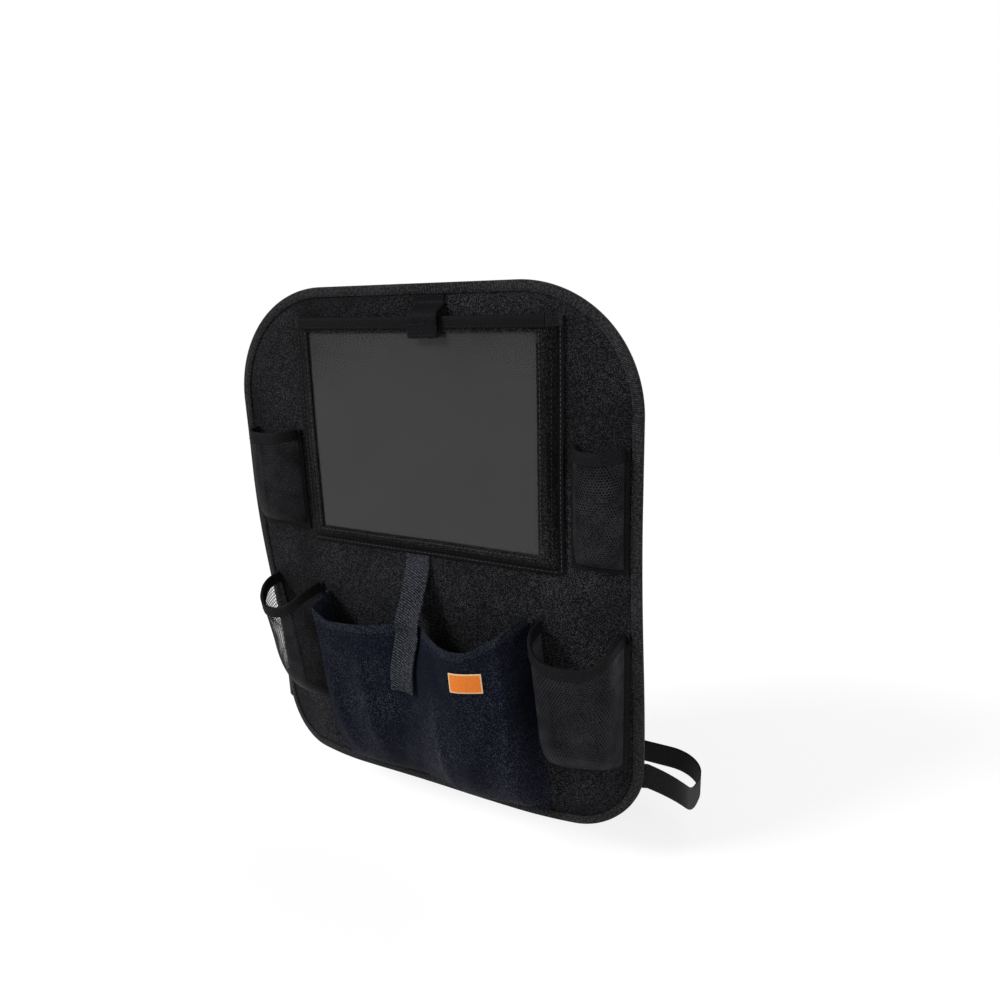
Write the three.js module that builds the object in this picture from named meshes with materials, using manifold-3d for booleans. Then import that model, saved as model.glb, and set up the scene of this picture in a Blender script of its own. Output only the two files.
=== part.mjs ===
// Car seat back organizer: a bound fabric panel that hangs on the back of a front seat.
// It carries a tablet pouch with a clear window, four mesh pockets and one wide fabric pocket.
// A strap with a side-release buckle goes round the headrest posts, and another round the seat back.
// Millimetres, +Z up. The panel faces -Y, and its back lies on the seat at y = 0.
// The origin is the middle of the panel's back.
import * as THREE from "three";
import { mergeVertices } from "three/addons/utils/BufferGeometryUtils.js";
import Module from "manifold-3d";

const wasm = await Module();
wasm.setup();

// Driving dimensions, shared by several pieces
const gap = 0.3; // between sewn layers
const looseGap = 0.5; // between layers that follow the same curved surface
const panel = { width: 420, height: 494, thickness: 2.4, topCorner: 108, bottomCorner: 60 };
const edging = { cover: 9, tape: 0.9, fold: 1.2, play: 1 }; // perimeter binding tape
const flange = 5; // seam allowance of every pocket
const mouthTape = { height: 9, tape: 0.9 }; // folded tape along a pocket's mouth
const meshCloth = 1.2;
const fabric = 1.4;
const webbing = { width: 25, thickness: 1.4 };
const touchTape = 1; // hook tape and loop tape
const sewnOn = 0.8; // label cloth and thin tapes

// The lower sides of the panel lean back round the seat
const lean = { depth: 22, flatHalf: 90, from: 70, to: -200 };

const pouch = {
  centre: 6, belowTop: 28.5, width: 275, height: 217, depth: 9, side: 20, sill: 18, lintel: 12,
  ramp: 7, film: 0.5, filmOverlap: 6,
};
const closureTab = { x: 20, width: 30, overlap: 17, loopPatch: 6, margin: 2, bend: 7 };
const pocketTab = { x: -7.5, width: 26, overPocket: 62, hold: 46, margin: 2, bend: 9, follow: 8 };
const label = { x: 70.5, z: -91.5, width: 30, height: 18.5, tilt: 4.5 };

// Mesh pockets: seams from left to right, from bottom to mouth
const tissuePocket = {
  left: -195, right: -142, lowLeft: -195, lowRight: -142, bottom: 16, mouth: 112, sag: 2,
  depth: 22, base: 0.3, squareness: 2.6, gapsAcross: 4, gapsUp: 7,
};
const penPocket = {
  left: 154, right: 195, lowLeft: 154, lowRight: 195, bottom: 14, mouth: 116, sag: 3,
  depth: 20, base: 0.3, squareness: 2.4, gapsAcross: 4, gapsUp: 8,
};
const bottlePocket = {
  left: -195, right: -133, lowLeft: -174, lowRight: -114.5, bottom: -174, mouth: -48, sag: 18,
  depth: 44, base: 0.5, squareness: 2.6, gapsAcross: 5, gapsUp: 7,
};
const wipesPocket = {
  left: 118.5, right: 195, lowLeft: 131, lowRight: 192, bottom: -178, mouth: -46, sag: 20,
  depth: 42, base: 0.28, squareness: 3.6, gapsAcross: 5, gapsUp: 7,
};
const mainPocket = {
  left: -122.5, right: 107, lowLeft: -94, lowRight: 122, mouthLeft: -54, mouthRight: -43, depth: 38,
  shoulder: 11, base: 0.42, bulge: 15, bulgeX: 60, bulgeSpread: 34, tuck: 8, tuckSpread: 24,
  slack: 15, slackLeft: 32, slackRight: 40, dip: 3, lipTuck: 15, lipReach: 46, lipSpread: 34,
};

const buckle = {
  approach: 10, settle: 22, socket: 36, halfWidth: 16, halfThickness: 4.5, mouth: 21, channel: 12.6, wall: 1.8,
  window: 9.4, windowLength: 10.5, bar: 2.8, slot: 4.2, rail: 13.2, corner: 4,
  plug: 23, plugThickness: 3.4, prong: 19, prongWidth: 3, guide: 2.4, barb: 14.6, bevel: 0.8, play: 0.4,
};
const headrestLoop = { x: 92, belowTop: 43, depth: 60, bend: 18, sewn: 34, tail: 46, buckleX: -6 };
const seatLoop = {
  x: 240, aboveBottom: 55, depth: 150, bend: 40, sewn: 34, tail: 60, buckleX: -6, drop: 60, turn: 40,
};

const colours = {
  fabric: 0x16161a, tape: 0x0d0d0f, mesh: 0x1c1c20, film: 0x3a3b40, webbing: 0x1a1b20,
  touch: 0x101012, label: 0xe8741f, plastic: 0x0e0e10,
};

const halfWidth = panel.width / 2;
const halfHeight = panel.height / 2;
const faceY = -panel.thickness; // the panel's front face
const headrestZ = halfHeight - headrestLoop.belowTop;
const seatStrapZ = seatLoop.aboveBottom - halfHeight;
const seamX = halfWidth - edging.cover - looseGap; // pieces on the face end here
const seamZ = halfHeight - edging.cover - looseGap;

const smooth = (t) => {
  const c = THREE.MathUtils.clamp(t, 0, 1);
  return c * c * (3 - 2 * c);
};
const mix = THREE.MathUtils.lerp;
const bell = (x, centre, spread) => Math.exp(-(((x - centre) / spread) ** 2));

// How far a point of the panel lies behind the flat middle
function leanBack(x, z) {
  const side = Math.max(0, (Math.abs(x) - lean.flatHalf) / (halfWidth - lean.flatHalf));
  return lean.depth * side ** 2 * smooth((lean.from - z) / (lean.from - lean.to));
}

function material(colour, roughness, extra = {}) {
  return new THREE.MeshStandardMaterial({ color: colour, roughness, metalness: 0, ...extra });
}

const group = new THREE.Group();

function add(name, geometry, finish) {
  const mesh = new THREE.Mesh(geometry, finish);
  mesh.name = name;
  group.add(mesh);
}

const finishes = {
  fabric: material(colours.fabric, 0.9),
  tape: material(colours.tape, 0.7),
  mesh: material(colours.mesh, 0.85),
  film: material(colours.film, 0.15, { transparent: true, opacity: 0.35 }),
  webbing: material(colours.webbing, 0.75),
  touch: material(colours.touch, 0.95),
  label: material(colours.label, 0.6),
  plastic: material(colours.plastic, 0.4),
};

// A closed solid from two facing grids of points; isGap leaves cells open
function solidSheet(front, back, isGap = () => false) {
  const columns = front.length;
  const rows = front[0].length;
  const points = [...front.flat(), ...back.flat()];
  const at = (i, j, side) => side * columns * rows + i * rows + j;
  const faces = [];
  const quad = (a, b, c, d) => faces.push(a, b, c, a, c, d);
  const open = (i, j) => i < 0 || j < 0 || i >= columns - 1 || j >= rows - 1 || isGap(i, j);
  for (let i = 0; i < columns - 1; i += 1) {
    for (let j = 0; j < rows - 1; j += 1) {
      if (!open(i, j)) {
        quad(at(i, j, 0), at(i + 1, j, 0), at(i + 1, j + 1, 0), at(i, j + 1, 0));
        quad(at(i, j, 1), at(i, j + 1, 1), at(i + 1, j + 1, 1), at(i + 1, j, 1));
        if (open(i, j - 1)) quad(at(i, j, 1), at(i + 1, j, 1), at(i + 1, j, 0), at(i, j, 0));
        if (open(i, j + 1)) quad(at(i, j + 1, 0), at(i + 1, j + 1, 0), at(i + 1, j + 1, 1), at(i, j + 1, 1));
        if (open(i - 1, j)) quad(at(i, j, 1), at(i, j, 0), at(i, j + 1, 0), at(i, j + 1, 1));
        if (open(i + 1, j)) quad(at(i + 1, j, 0), at(i + 1, j, 1), at(i + 1, j + 1, 1), at(i + 1, j + 1, 0));
      }
    }
  }
  return indexed(points, faces);
}

function indexed(points, faces) {
  const geometry = new THREE.BufferGeometry().setFromPoints(points);
  geometry.setIndex(faces);
  return geometry;
}

// Unit normals of a grid of points, pointing to the front
function gridNormals(grid) {
  const last = grid.length - 1;
  const top = grid[0].length - 1;
  return grid.map((column, i) => column.map((_, j) => {
    const across = grid[Math.min(i + 1, last)][j].clone().sub(grid[Math.max(i - 1, 0)][j]);
    const up = column[Math.min(j + 1, top)].clone().sub(column[Math.max(j - 1, 0)]);
    return across.cross(up).normalize();
  }));
}

// Two grids, half a thickness to either side of a middle one
function thicken(grid, thickness) {
  const normals = gridNormals(grid);
  const shifted = (amount) => grid.map((column, i) => column.map(
    (point, j) => point.clone().addScaledVector(normals[i][j], amount),
  ));
  return [shifted(thickness / 2), shifted(-thickness / 2)];
}

// A section swept along a row of frames; closed joins the last frame to the first
function sweep(frames, section, closed) {
  const points = frames.flatMap((f) => section.map(([out, along]) => f.at.clone()
    .addScaledVector(f.out, out).addScaledVector(f.along, along)));
  const n = section.length;
  const faces = [];
  const steps = closed ? frames.length : frames.length - 1;
  for (let i = 0; i < steps; i += 1) {
    const next = ((i + 1) % frames.length) * n;
    for (let k = 0; k < n; k += 1) {
      const m = (k + 1) % n;
      faces.push(i * n + k, i * n + m, next + m, i * n + k, next + m, next + k);
    }
  }
  if (!closed) {
    const cap = THREE.ShapeUtils.triangulateShape(section.map((p) => new THREE.Vector2(...p)), []);
    const end = (frames.length - 1) * n;
    cap.forEach(([a, b, c]) => faces.push(a, c, b, end + a, end + b, end + c));
  }
  return outward(indexed(points, faces));
}

// Turns every face round if the closed mesh is inside out
function outward(geometry) {
  const p = geometry.getAttribute("position");
  const index = geometry.getIndex();
  const [a, b, c] = [new THREE.Vector3(), new THREE.Vector3(), new THREE.Vector3()];
  let volume = 0;
  for (let i = 0; i < index.count; i += 3) {
    a.fromBufferAttribute(p, index.getX(i));
    b.fromBufferAttribute(p, index.getX(i + 1));
    c.fromBufferAttribute(p, index.getX(i + 2));
    volume += a.dot(b.cross(c));
  }
  if (volume < 0) {
    for (let i = 0; i < index.count; i += 3) {
      const kept = index.getX(i + 1);
      index.setX(i + 1, index.getX(i + 2));
      index.setX(i + 2, kept);
    }
  }
  return geometry;
}

// Back panel: rows follow the rounded outline
function outlineHalfWidth(z, inset) {
  const corner = (z > 0 ? panel.topCorner : panel.bottomCorner) - inset;
  const beyond = Math.abs(z) - (halfHeight - inset - corner);
  const across = halfWidth - inset - corner;
  return beyond <= 0 ? across + corner : across + Math.sqrt(Math.max(0, corner ** 2 - beyond ** 2));
}

function panelRows(inset) {
  const cornerRows = 7;
  const sideRows = 11;
  const arc = (corner, sign) => Array.from({ length: cornerRows + 1 }, (_, k) => {
    const turn = (Math.PI / 2) * (k / cornerRows);
    return sign * (halfHeight - inset - (corner - inset) * (1 - Math.cos(turn)));
  });
  const low = arc(panel.bottomCorner, -1);
  const high = arc(panel.topCorner, 1).reverse();
  const between = Array.from({ length: sideRows - 1 }, (_, k) => mix(low.at(-1), high[0], (k + 1) / sideRows));
  return [...low, ...between, ...high];
}

function backPanel() {
  const inset = edging.fold + edging.play;
  const columns = 19; // odd, so that the origin lies inside a face
  const rows = panelRows(inset);
  const face = (y) => Array.from({ length: columns + 1 }, (_, i) => rows.map((z) => {
    const x = outlineHalfWidth(z, inset) * mix(-1, 1, i / columns);
    return new THREE.Vector3(x, y + leanBack(x, z), z);
  }));
  return solidSheet(face(faceY), face(0));
}

// Perimeter binding: one tape folded over the edge all the way round
function edgeBinding() {
  const outline = [];
  const corner = (sx, sz, radius, from, pieces) => {
    for (let k = 0; k <= pieces; k += 1) {
      const turn = from + (Math.PI / 2) * (k / pieces);
      outline.push([
        sx * (halfWidth - radius) + radius * Math.cos(turn),
        sz * (halfHeight - radius) + radius * Math.sin(turn),
        turn,
      ]);
    }
  };
  const straight = (a, b, turn, pieces) => {
    for (let k = 1; k < pieces; k += 1) {
      outline.push([mix(a[0], b[0], k / pieces), mix(a[1], b[1], k / pieces), turn]);
    }
  };
  const topX = halfWidth - panel.topCorner;
  const topZ = halfHeight - panel.topCorner;
  const lowX = halfWidth - panel.bottomCorner;
  const lowZ = halfHeight - panel.bottomCorner;
  corner(1, 1, panel.topCorner, 0, 9);
  straight([topX, halfHeight], [-topX, halfHeight], Math.PI / 2, 4);
  corner(-1, 1, panel.topCorner, Math.PI / 2, 9);
  straight([-halfWidth, topZ], [-halfWidth, -lowZ], Math.PI, 12);
  corner(-1, -1, panel.bottomCorner, Math.PI, 7);
  straight([-lowX, -halfHeight], [lowX, -halfHeight], 1.5 * Math.PI, 12);
  corner(1, -1, panel.bottomCorner, 1.5 * Math.PI, 7);
  straight([halfWidth, -lowZ], [halfWidth, topZ], 0, 12);
  const front = faceY - looseGap;
  const behind = looseGap + edging.tape;
  const section = [
    [-edging.cover, front - edging.tape], [-edging.tape, front - edging.tape], [0, front],
    [0, looseGap], [-edging.tape, behind], [-edging.cover, behind],
    [-edging.cover, looseGap], [-edging.fold, looseGap], [-edging.fold, front], [-edging.cover, front],
  ];
  const frames = outline.map(([x, z, turn]) => ({
    at: new THREE.Vector3(x, 0, z),
    out: new THREE.Vector3(Math.cos(turn), 0, Math.sin(turn)),
    along: new THREE.Vector3(0, 1, 0),
  }));
  const geometry = sweep(frames, section, true);
  const p = geometry.getAttribute("position");
  for (let i = 0; i < p.count; i += 1) p.setY(i, p.getY(i) + leanBack(p.getX(i), p.getZ(i)));
  return geometry;
}

// A mesh pocket's middle surface: columns run from the left flange to the right one
function pocketGrid(pocket, across, up) {
  const power = 2 / pocket.squareness;
  const topBand = mouthTape.height + 1;
  const tall = pocket.mouth - pocket.bottom;
  const levels = [-flange, 0];
  for (let k = 1; k <= 3; k += 1) levels.push(tall * pocket.base * (1 - Math.cos((Math.PI / 2) * (k / 3))));
  const free = up - levels.length - 1;
  const start = levels.at(-1);
  const end = tall - topBand - pocket.sag;
  for (let k = 1; k <= free; k += 1) levels.push(mix(start, end, k / free));
  levels.push(tall - topBand, tall);
  return Array.from({ length: across + 3 }, (_, i) => levels.map((level, j) => {
    const share = THREE.MathUtils.clamp(level / tall, 0, 1);
    const left = mix(pocket.lowLeft, pocket.left, share);
    const right = mix(pocket.lowRight, pocket.right, share);
    const onFlange = i === 0 || i === across + 2;
    const turn = Math.PI * THREE.MathUtils.clamp((i - 1) / across, 0, 1);
    const side = -Math.sign(Math.cos(turn)) * Math.abs(Math.cos(turn)) ** power;
    const swell = Math.min(1, Math.max(0, level / (tall * pocket.base)));
    const rise = pocket.depth * Math.sqrt(1 - (1 - swell) ** 2) * Math.sin(turn) ** power;
    const x = onFlange
      ? (i === 0 ? left - flange : right + flange)
      : (left + right) / 2 + ((right - left) / 2) * side;
    const upper = (level - tall * pocket.base) / (tall * (1 - pocket.base));
    const sag = pocket.sag * Math.sin(turn) ** 2 * smooth(upper);
    const z = pocket.bottom + level - (onFlange ? 0 : sag);
    const underTape = j >= levels.length - 2 ? mouthTape.tape + gap : 0;
    const y = faceY - gap - meshCloth / 2 - underTape - (onFlange ? 0 : rise);
    return new THREE.Vector3(x, y + leanBack(x, z), z);
  }));
}

function meshPocket(name, pocket) {
  const across = 2 * pocket.gapsAcross + 3;
  const up = 2 * pocket.gapsUp + 2;
  const grid = pocketGrid(pocket, across, up);
  const [front, back] = thicken(grid, meshCloth);
  const rows = grid[0].length;
  const isGap = (i, j) => i % 2 === 1 && i > 1 && i < across + 1 && j % 2 === 0 && j > 1 && j < rows - 3;
  add(`${name}_mesh`, solidSheet(front, back, (i, j) => isGap(i - 1, j)), finishes.mesh);
  add(`${name}_binding`, mouthBinding(grid, meshCloth), finishes.tape);
}

// Tape folded over the last row of a grid
function mouthBinding(grid, cloth) {
  const top = grid[0].length - 1;
  const normals = gridNormals(grid);
  const inner = cloth / 2 + gap;
  const outer = inner + mouthTape.tape;
  const lip = gap + mouthTape.tape;
  const section = [
    [outer, -mouthTape.height], [outer, lip - mouthTape.tape / 2], [inner, lip],
    [-inner, lip], [-outer, lip - mouthTape.tape / 2], [-outer, -mouthTape.height],
    [-inner, -mouthTape.height], [-inner, gap], [inner, gap], [inner, -mouthTape.height],
  ];
  const frames = grid.map((column, i) => ({
    at: column[top],
    out: normals[i][top],
    along: column[top].clone().sub(column[top - 1]).normalize(),
  }));
  return sweep(frames, section, false);
}

// Wide fabric pocket: where its two sloping side seams lie at a height
function mainSeams(z) {
  const down = (mainPocket.mouthRight - z) / (mainPocket.mouthRight + seamZ);
  return [mix(mainPocket.left, mainPocket.lowLeft, down), mix(mainPocket.right, mainPocket.lowRight, down)];
}

function mainShare(x, z) {
  const [left, right] = mainSeams(z);
  return (x - left) / (right - left);
}

function mainSides(x, z) {
  const share = mainShare(x, z);
  const shoulder = mainPocket.shoulder / (mainPocket.right - mainPocket.left);
  return smooth(share / shoulder) * smooth((1 - share) / shoulder);
}

// How far the tab pulls it in, most of all at the mouth
function mainTuck(x, z) {
  const nearLip = smooth(1 - (mainMouth(x) - z) / mainPocket.lipReach);
  return mainPocket.tuck * bell(x, pocketTab.x, mainPocket.tuckSpread)
    + mainPocket.lipTuck * nearLip * bell(x, pocketTab.x, mainPocket.lipSpread);
}

// How far its middle surface stands off the panel's face
function mainDepth(x, z) {
  const low = -seamZ + flange;
  const up = THREE.MathUtils.clamp((z - low) / ((mainPocket.mouthLeft - low) * mainPocket.base), 0, 1);
  const bulge = mainPocket.bulge * bell(x, mainPocket.bulgeX, mainPocket.bulgeSpread);
  const full = mainPocket.depth + bulge - mainTuck(x, z);
  return full * mainSides(x, z) * Math.sqrt(1 - (1 - up) ** 2);
}

function mainMouth(x) {
  const share = (x - mainPocket.left) / (mainPocket.right - mainPocket.left);
  const line = mix(mainPocket.mouthLeft, mainPocket.mouthRight, share);
  const leftEnd = smooth((x - mainPocket.left) / mainPocket.slackLeft);
  const rightEnd = smooth((mainPocket.right - x) / mainPocket.slackRight);
  const dip = mainPocket.dip * bell(x, mainPocket.bulgeX, mainPocket.bulgeSpread);
  return line - mainPocket.slack * leftEnd * rightEnd - dip;
}

// The pocket's front surface, for what is sewn on it
function mainFront(x, z, above) {
  return faceY - gap - fabric - mainDepth(x, z) - above + leanBack(x, z);
}

function mainPocketWall() {
  const low = -seamZ;
  const span = mainPocket.right - mainPocket.left;
  const shoulder = [0, 0.15, 0.32, 0.5, 0.68, 0.85, 1].map((s) => (s * mainPocket.shoulder) / span);
  const pieces = 40;
  const lipRows = 9;
  const edge = shoulder.at(-1);
  const middle = Array.from({ length: pieces - 1 }, (_, k) => mix(edge, 1 - edge, (k + 1) / pieces));
  const shares = [...shoulder, ...middle, ...shoulder.map((s) => 1 - s).reverse()];
  const levels = [0, 0.1, 0.35, 0.7, 1].map((s) => s * mainPocket.base);
  const column = (share, beside) => {
    const top = mainMouth(mix(mainPocket.left, mainPocket.right, share));
    const calm = top - mainPocket.lipReach;
    const heights = [
      low, ...levels.map((s) => mix(low + flange, top, s)),
      mix(mix(low + flange, top, mainPocket.base), calm, 0.5),
      ...Array.from({ length: lipRows + 1 }, (_, k) => mix(calm, top, k / lipRows)),
    ];
    return heights.map((z) => {
      const x = mix(...mainSeams(z), share) + beside;
      return new THREE.Vector3(x, faceY - gap - fabric / 2 - mainDepth(x, z) + leanBack(x, z), z);
    });
  };
  const grid = [column(0, -flange), ...shares.map((share) => column(share, 0)), column(1, flange)];
  return solidSheet(...thicken(grid, fabric));
}

// A patch that follows the wide pocket's front, turned by a tilt in degrees
function onMainPocket(centreX, centreZ, width, height, thickness, above, tilt = 0) {
  const columns = 5;
  const rows = 9;
  const turn = THREE.MathUtils.degToRad(tilt);
  const point = (i, j, lift) => {
    const [across, up] = [width * (i / columns - 0.5), height * (j / rows - 0.5)];
    const x = centreX + across * Math.cos(turn) - up * Math.sin(turn);
    const z = centreZ + across * Math.sin(turn) + up * Math.cos(turn);
    return new THREE.Vector3(x, mainFront(x, z, lift), z);
  };
  const face = (lift) => Array.from(
    { length: columns + 1 },
    (_, i) => Array.from({ length: rows + 1 }, (__, j) => point(i, j, lift)),
  );
  return solidSheet(face(above + thickness), face(above));
}

// Tablet pouch
const pouchLeft = pouch.centre - pouch.width / 2;
const pouchRight = pouch.centre + pouch.width / 2;
const pouchTop = halfHeight - pouch.belowTop;
const pouchBottom = pouchTop - pouch.height;

// How far the pouch front stands off: flat seam, ramp, flat window border
function pouchDepth(x, z) {
  const fromSeam = Math.min(x - pouchLeft, pouchRight - x, z - pouchBottom) - flange;
  return pouch.depth * THREE.MathUtils.clamp(fromSeam / pouch.ramp, 0, 1);
}

function pouchPoint(x, z, behind) {
  return new THREE.Vector3(x, faceY - gap - pouchDepth(x, z) + behind + leanBack(x, z), z);
}

function pouchStations(low, high, edge, pieces, symmetric) {
  const start = [0, flange, flange + pouch.ramp, edge].map((s) => low + s);
  const end = symmetric
    ? [edge, flange + pouch.ramp, flange, 0].map((s) => high - s)
    : [pouch.lintel, 0].map((s) => high - s);
  const between = Array.from({ length: pieces - 1 }, (_, k) => mix(start.at(-1), end[0], (k + 1) / pieces));
  return [...start, ...between, ...end];
}

function tabletFrame() {
  const xs = pouchStations(pouchLeft, pouchRight, pouch.side, 4, true);
  const zs = pouchStations(pouchBottom, pouchTop, pouch.sill, 4, false);
  const face = (behind) => xs.map((x) => zs.map((z) => pouchPoint(x, z, behind)));
  const isGap = (i, j) => i > 2 && i < xs.length - 4 && j > 2 && j < zs.length - 2;
  return solidSheet(face(-fabric), face(0), isGap);
}

function clearWindow() {
  const left = pouchLeft + pouch.side - pouch.filmOverlap;
  const right = pouchRight - pouch.side + pouch.filmOverlap;
  const low = pouchBottom + pouch.sill - pouch.filmOverlap;
  const high = pouchTop - mouthTape.height - 2 * gap;
  const pieces = 4;
  const y = faceY - gap - pouch.depth + gap;
  const shares = Array.from({ length: pieces + 1 }, (_, k) => k / pieces);
  const point = (s, t, behind) => {
    const [x, z] = [mix(left, right, s), mix(low, high, t)];
    return new THREE.Vector3(x, y + behind + leanBack(x, z), z);
  };
  const face = (behind) => shares.map((s) => shares.map((t) => point(s, t, behind)));
  return solidSheet(face(0), face(pouch.film));
}

// The tape over the pouch's mouth runs between the two ramps
function pouchMouthTape() {
  const pieces = 6;
  const left = pouchLeft + flange + pouch.ramp;
  const right = pouchRight - flange - pouch.ramp;
  const grid = Array.from({ length: pieces + 1 }, (_, i) => [pouchTop - mouthTape.height, pouchTop].map((z) => {
    const x = mix(left, right, i / pieces);
    return pouchPoint(x, z, -fabric / 2);
  }));
  return mouthBinding(grid, fabric);
}

// A flat tape sewn over the pouch's seam, from corner to corner
function seamTape(x0, x1, z0, z1, pieces) {
  const upright = z1 - z0 > x1 - x0;
  const point = (x, z, lift) => new THREE.Vector3(x, faceY - gap - fabric - gap - lift + leanBack(x, z), z);
  const columns = upright ? 1 : pieces;
  const rows = upright ? pieces : 1;
  const face = (lift) => Array.from({ length: columns + 1 }, (_, i) => Array.from(
    { length: rows + 1 },
    (__, j) => point(mix(x0, x1, i / columns), mix(z0, z1, j / rows), lift),
  ));
  return solidSheet(face(sewnOn), face(0));
}

// A strip of webbing that hangs in the YZ plane, through the given [y, z] points
function hangingTab(x, width, route, thickness, columns = 1, follow = () => 0) {
  const stops = route.map(([y, z]) => new THREE.Vector3(x, y, z));
  const curve = new THREE.CatmullRomCurve3(stops, false, "centripetal");
  const pieces = 4 * (route.length - 1);
  const middle = curve.getPoints(pieces);
  const stations = Array.from({ length: columns + 1 }, (_, i) => x + width * (i / columns - 0.5));
  const upwards = middle.slice().reverse();
  const grid = stations.map((at) => upwards.map((p) => new THREE.Vector3(at, p.y + follow(at, p.z), p.z)));
  return solidSheet(...thicken(grid, thickness));
}

function flatPatch(x, width, z0, z1, yFront, yBack) {
  const ends = [x - width / 2, x + width / 2];
  const face = (y) => ends.map((at) => [z0, z1].map((z) => new THREE.Vector3(at, y, z)));
  return solidSheet(face(yFront), face(yBack));
}

// Top tab: sewn to the panel above the pouch, and held on the pouch's mouth tape by touch tape
function closure() {
  const tapeFront = faceY - gap - pouch.depth - fabric - gap - mouthTape.tape;
  const loopBack = tapeFront - gap;
  const hookBack = loopBack - touchTape - gap;
  const tabBack = hookBack - touchTape - gap;
  const middle = tabBack - webbing.thickness / 2;
  const sewn = faceY - gap - webbing.thickness / 2;
  const top = seamZ;
  const end = pouchTop - closureTab.overlap;
  const patchLow = end + closureTab.margin / 2;
  const patchHigh = pouchTop - 1.5 * closureTab.margin;
  add("closure_tab", hangingTab(closureTab.x, closureTab.width, [
    [sewn, top], [sewn - gap, top - closureTab.bend], [middle, pouchTop + gap * closureTab.bend],
    [middle, mix(pouchTop, end, 0.5)], [middle, end],
  ], webbing.thickness), finishes.webbing);
  const width = closureTab.width - 2 * closureTab.margin;
  const loopLow = patchHigh - closureTab.loopPatch;
  const patch = (low, back) => flatPatch(closureTab.x, width, low, patchHigh, back - touchTape, back);
  add("closure_hook_patch", patch(patchLow, hookBack), finishes.touch);
  add("closure_loop_patch", patch(loopLow, loopBack), finishes.touch);
}

// Middle tab: sewn under the tablet pouch, and held on the wide pocket's front by touch tape
function pocketClosure() {
  const { x, width, overPocket, hold, margin, bend } = pocketTab;
  const lip = mainMouth(x);
  const end = lip - overPocket;
  const centre = end + margin / 2 + hold / 2;
  const patchWidth = width - 2 * margin;
  const hookLift = looseGap + touchTape + gap;
  add("pocket_loop_patch", onMainPocket(x, centre, patchWidth, hold, touchTape, looseGap), finishes.touch);
  add("pocket_hook_patch", onMainPocket(x, centre, patchWidth, hold, touchTape, hookLift), finishes.touch);
  const lift = hookLift + touchTape + gap + looseGap + webbing.thickness / 2;
  const front = (z) => mainFront(x, z, lift);
  const sewn = faceY - gap - webbing.thickness / 2;
  const top = pouchBottom - margin / 2;
  const tabPoint = (z) => [front(z), z];
  const steps = 6;
  const first = lip - pocketTab.follow;
  const followed = Array.from({ length: steps + 1 }, (_, k) => tabPoint(mix(first, end, k / steps)));
  const route = [
    [sewn, top], [sewn - 1, top - bend], [mix(sewn, front(lip), 0.55), mix(top, lip, 0.62)],
    [front(lip) - webbing.thickness, lip + margin], ...followed,
  ];
  const start = top - bend;
  const follow = (px, z) => (mainFront(px, z, 0) - mainFront(x, z, 0)) * smooth((start - z) / (start - lip));
  add("pocket_tab", hangingTab(x, width, route, webbing.thickness, 4, follow), finishes.webbing);
}

// A ribbon on edge: route in plan, width along Z, dropped and leaned point by point
function ribbon(route, z, drop, leans) {
  const last = route.length - 1;
  const columns = route.map((p, i) => {
    const along = route[Math.min(i + 1, last)].clone().sub(route[Math.max(i - 1, 0)]).normalize();
    return { p, out: new THREE.Vector2(along.y, -along.x) };
  });
  const face = (side) => columns.map(({ p, out }, i) => [-0.5, 0.5].map((edge) => {
    const x = p.x + out.x * side * (webbing.thickness / 2);
    const y = p.y + out.y * side * (webbing.thickness / 2);
    const level = z + edge * webbing.width;
    return new THREE.Vector3(x, y + leans(p.x, level, i), level - drop(p.y));
  }));
  return outward(solidSheet(face(1), face(-1)));
}

const wrap = buckle.bar / 2 + 0.9 + webbing.thickness / 2; // radius of the webbing round a buckle's bar

// The end of a strap: along the far run, round the bar at barX and back beside itself
function buckleEnd(path, barX, y, tail) {
  const returnY = y + wrap - webbing.thickness - gap - 0.1;
  path.lineTo(barX, y + wrap);
  path.absarc(barX, y, wrap, Math.PI / 2, (3 * Math.PI) / 2, false);
  path.lineTo(barX + buckle.approach, y - wrap);
  path.lineTo(barX + buckle.settle, returnY);
  path.lineTo(barX + buckle.settle + tail, returnY);
}

function mirrored(points, side) {
  return points.map((p) => new THREE.Vector2(side * p.x, p.y));
}

// Strap round the headrest posts, one half on each side
function headrestStrap(side, barX, tail) {
  const { x, depth, bend, sewn } = headrestLoop;
  const start = gap + webbing.thickness / 2;
  const path = new THREE.Path();
  path.moveTo(x - bend - sewn, start);
  path.lineTo(x - bend, start);
  path.absarc(x - bend, start + bend, bend, -Math.PI / 2, 0, false);
  path.lineTo(x, depth + wrap - bend);
  path.absarc(x - bend, depth + wrap - bend, bend, 0, Math.PI / 2, false);
  buckleEnd(path, side * barX, depth, tail);
  return ribbon(mirrored(path.getPoints(4), side), headrestZ, () => 0, () => 0);
}

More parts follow.
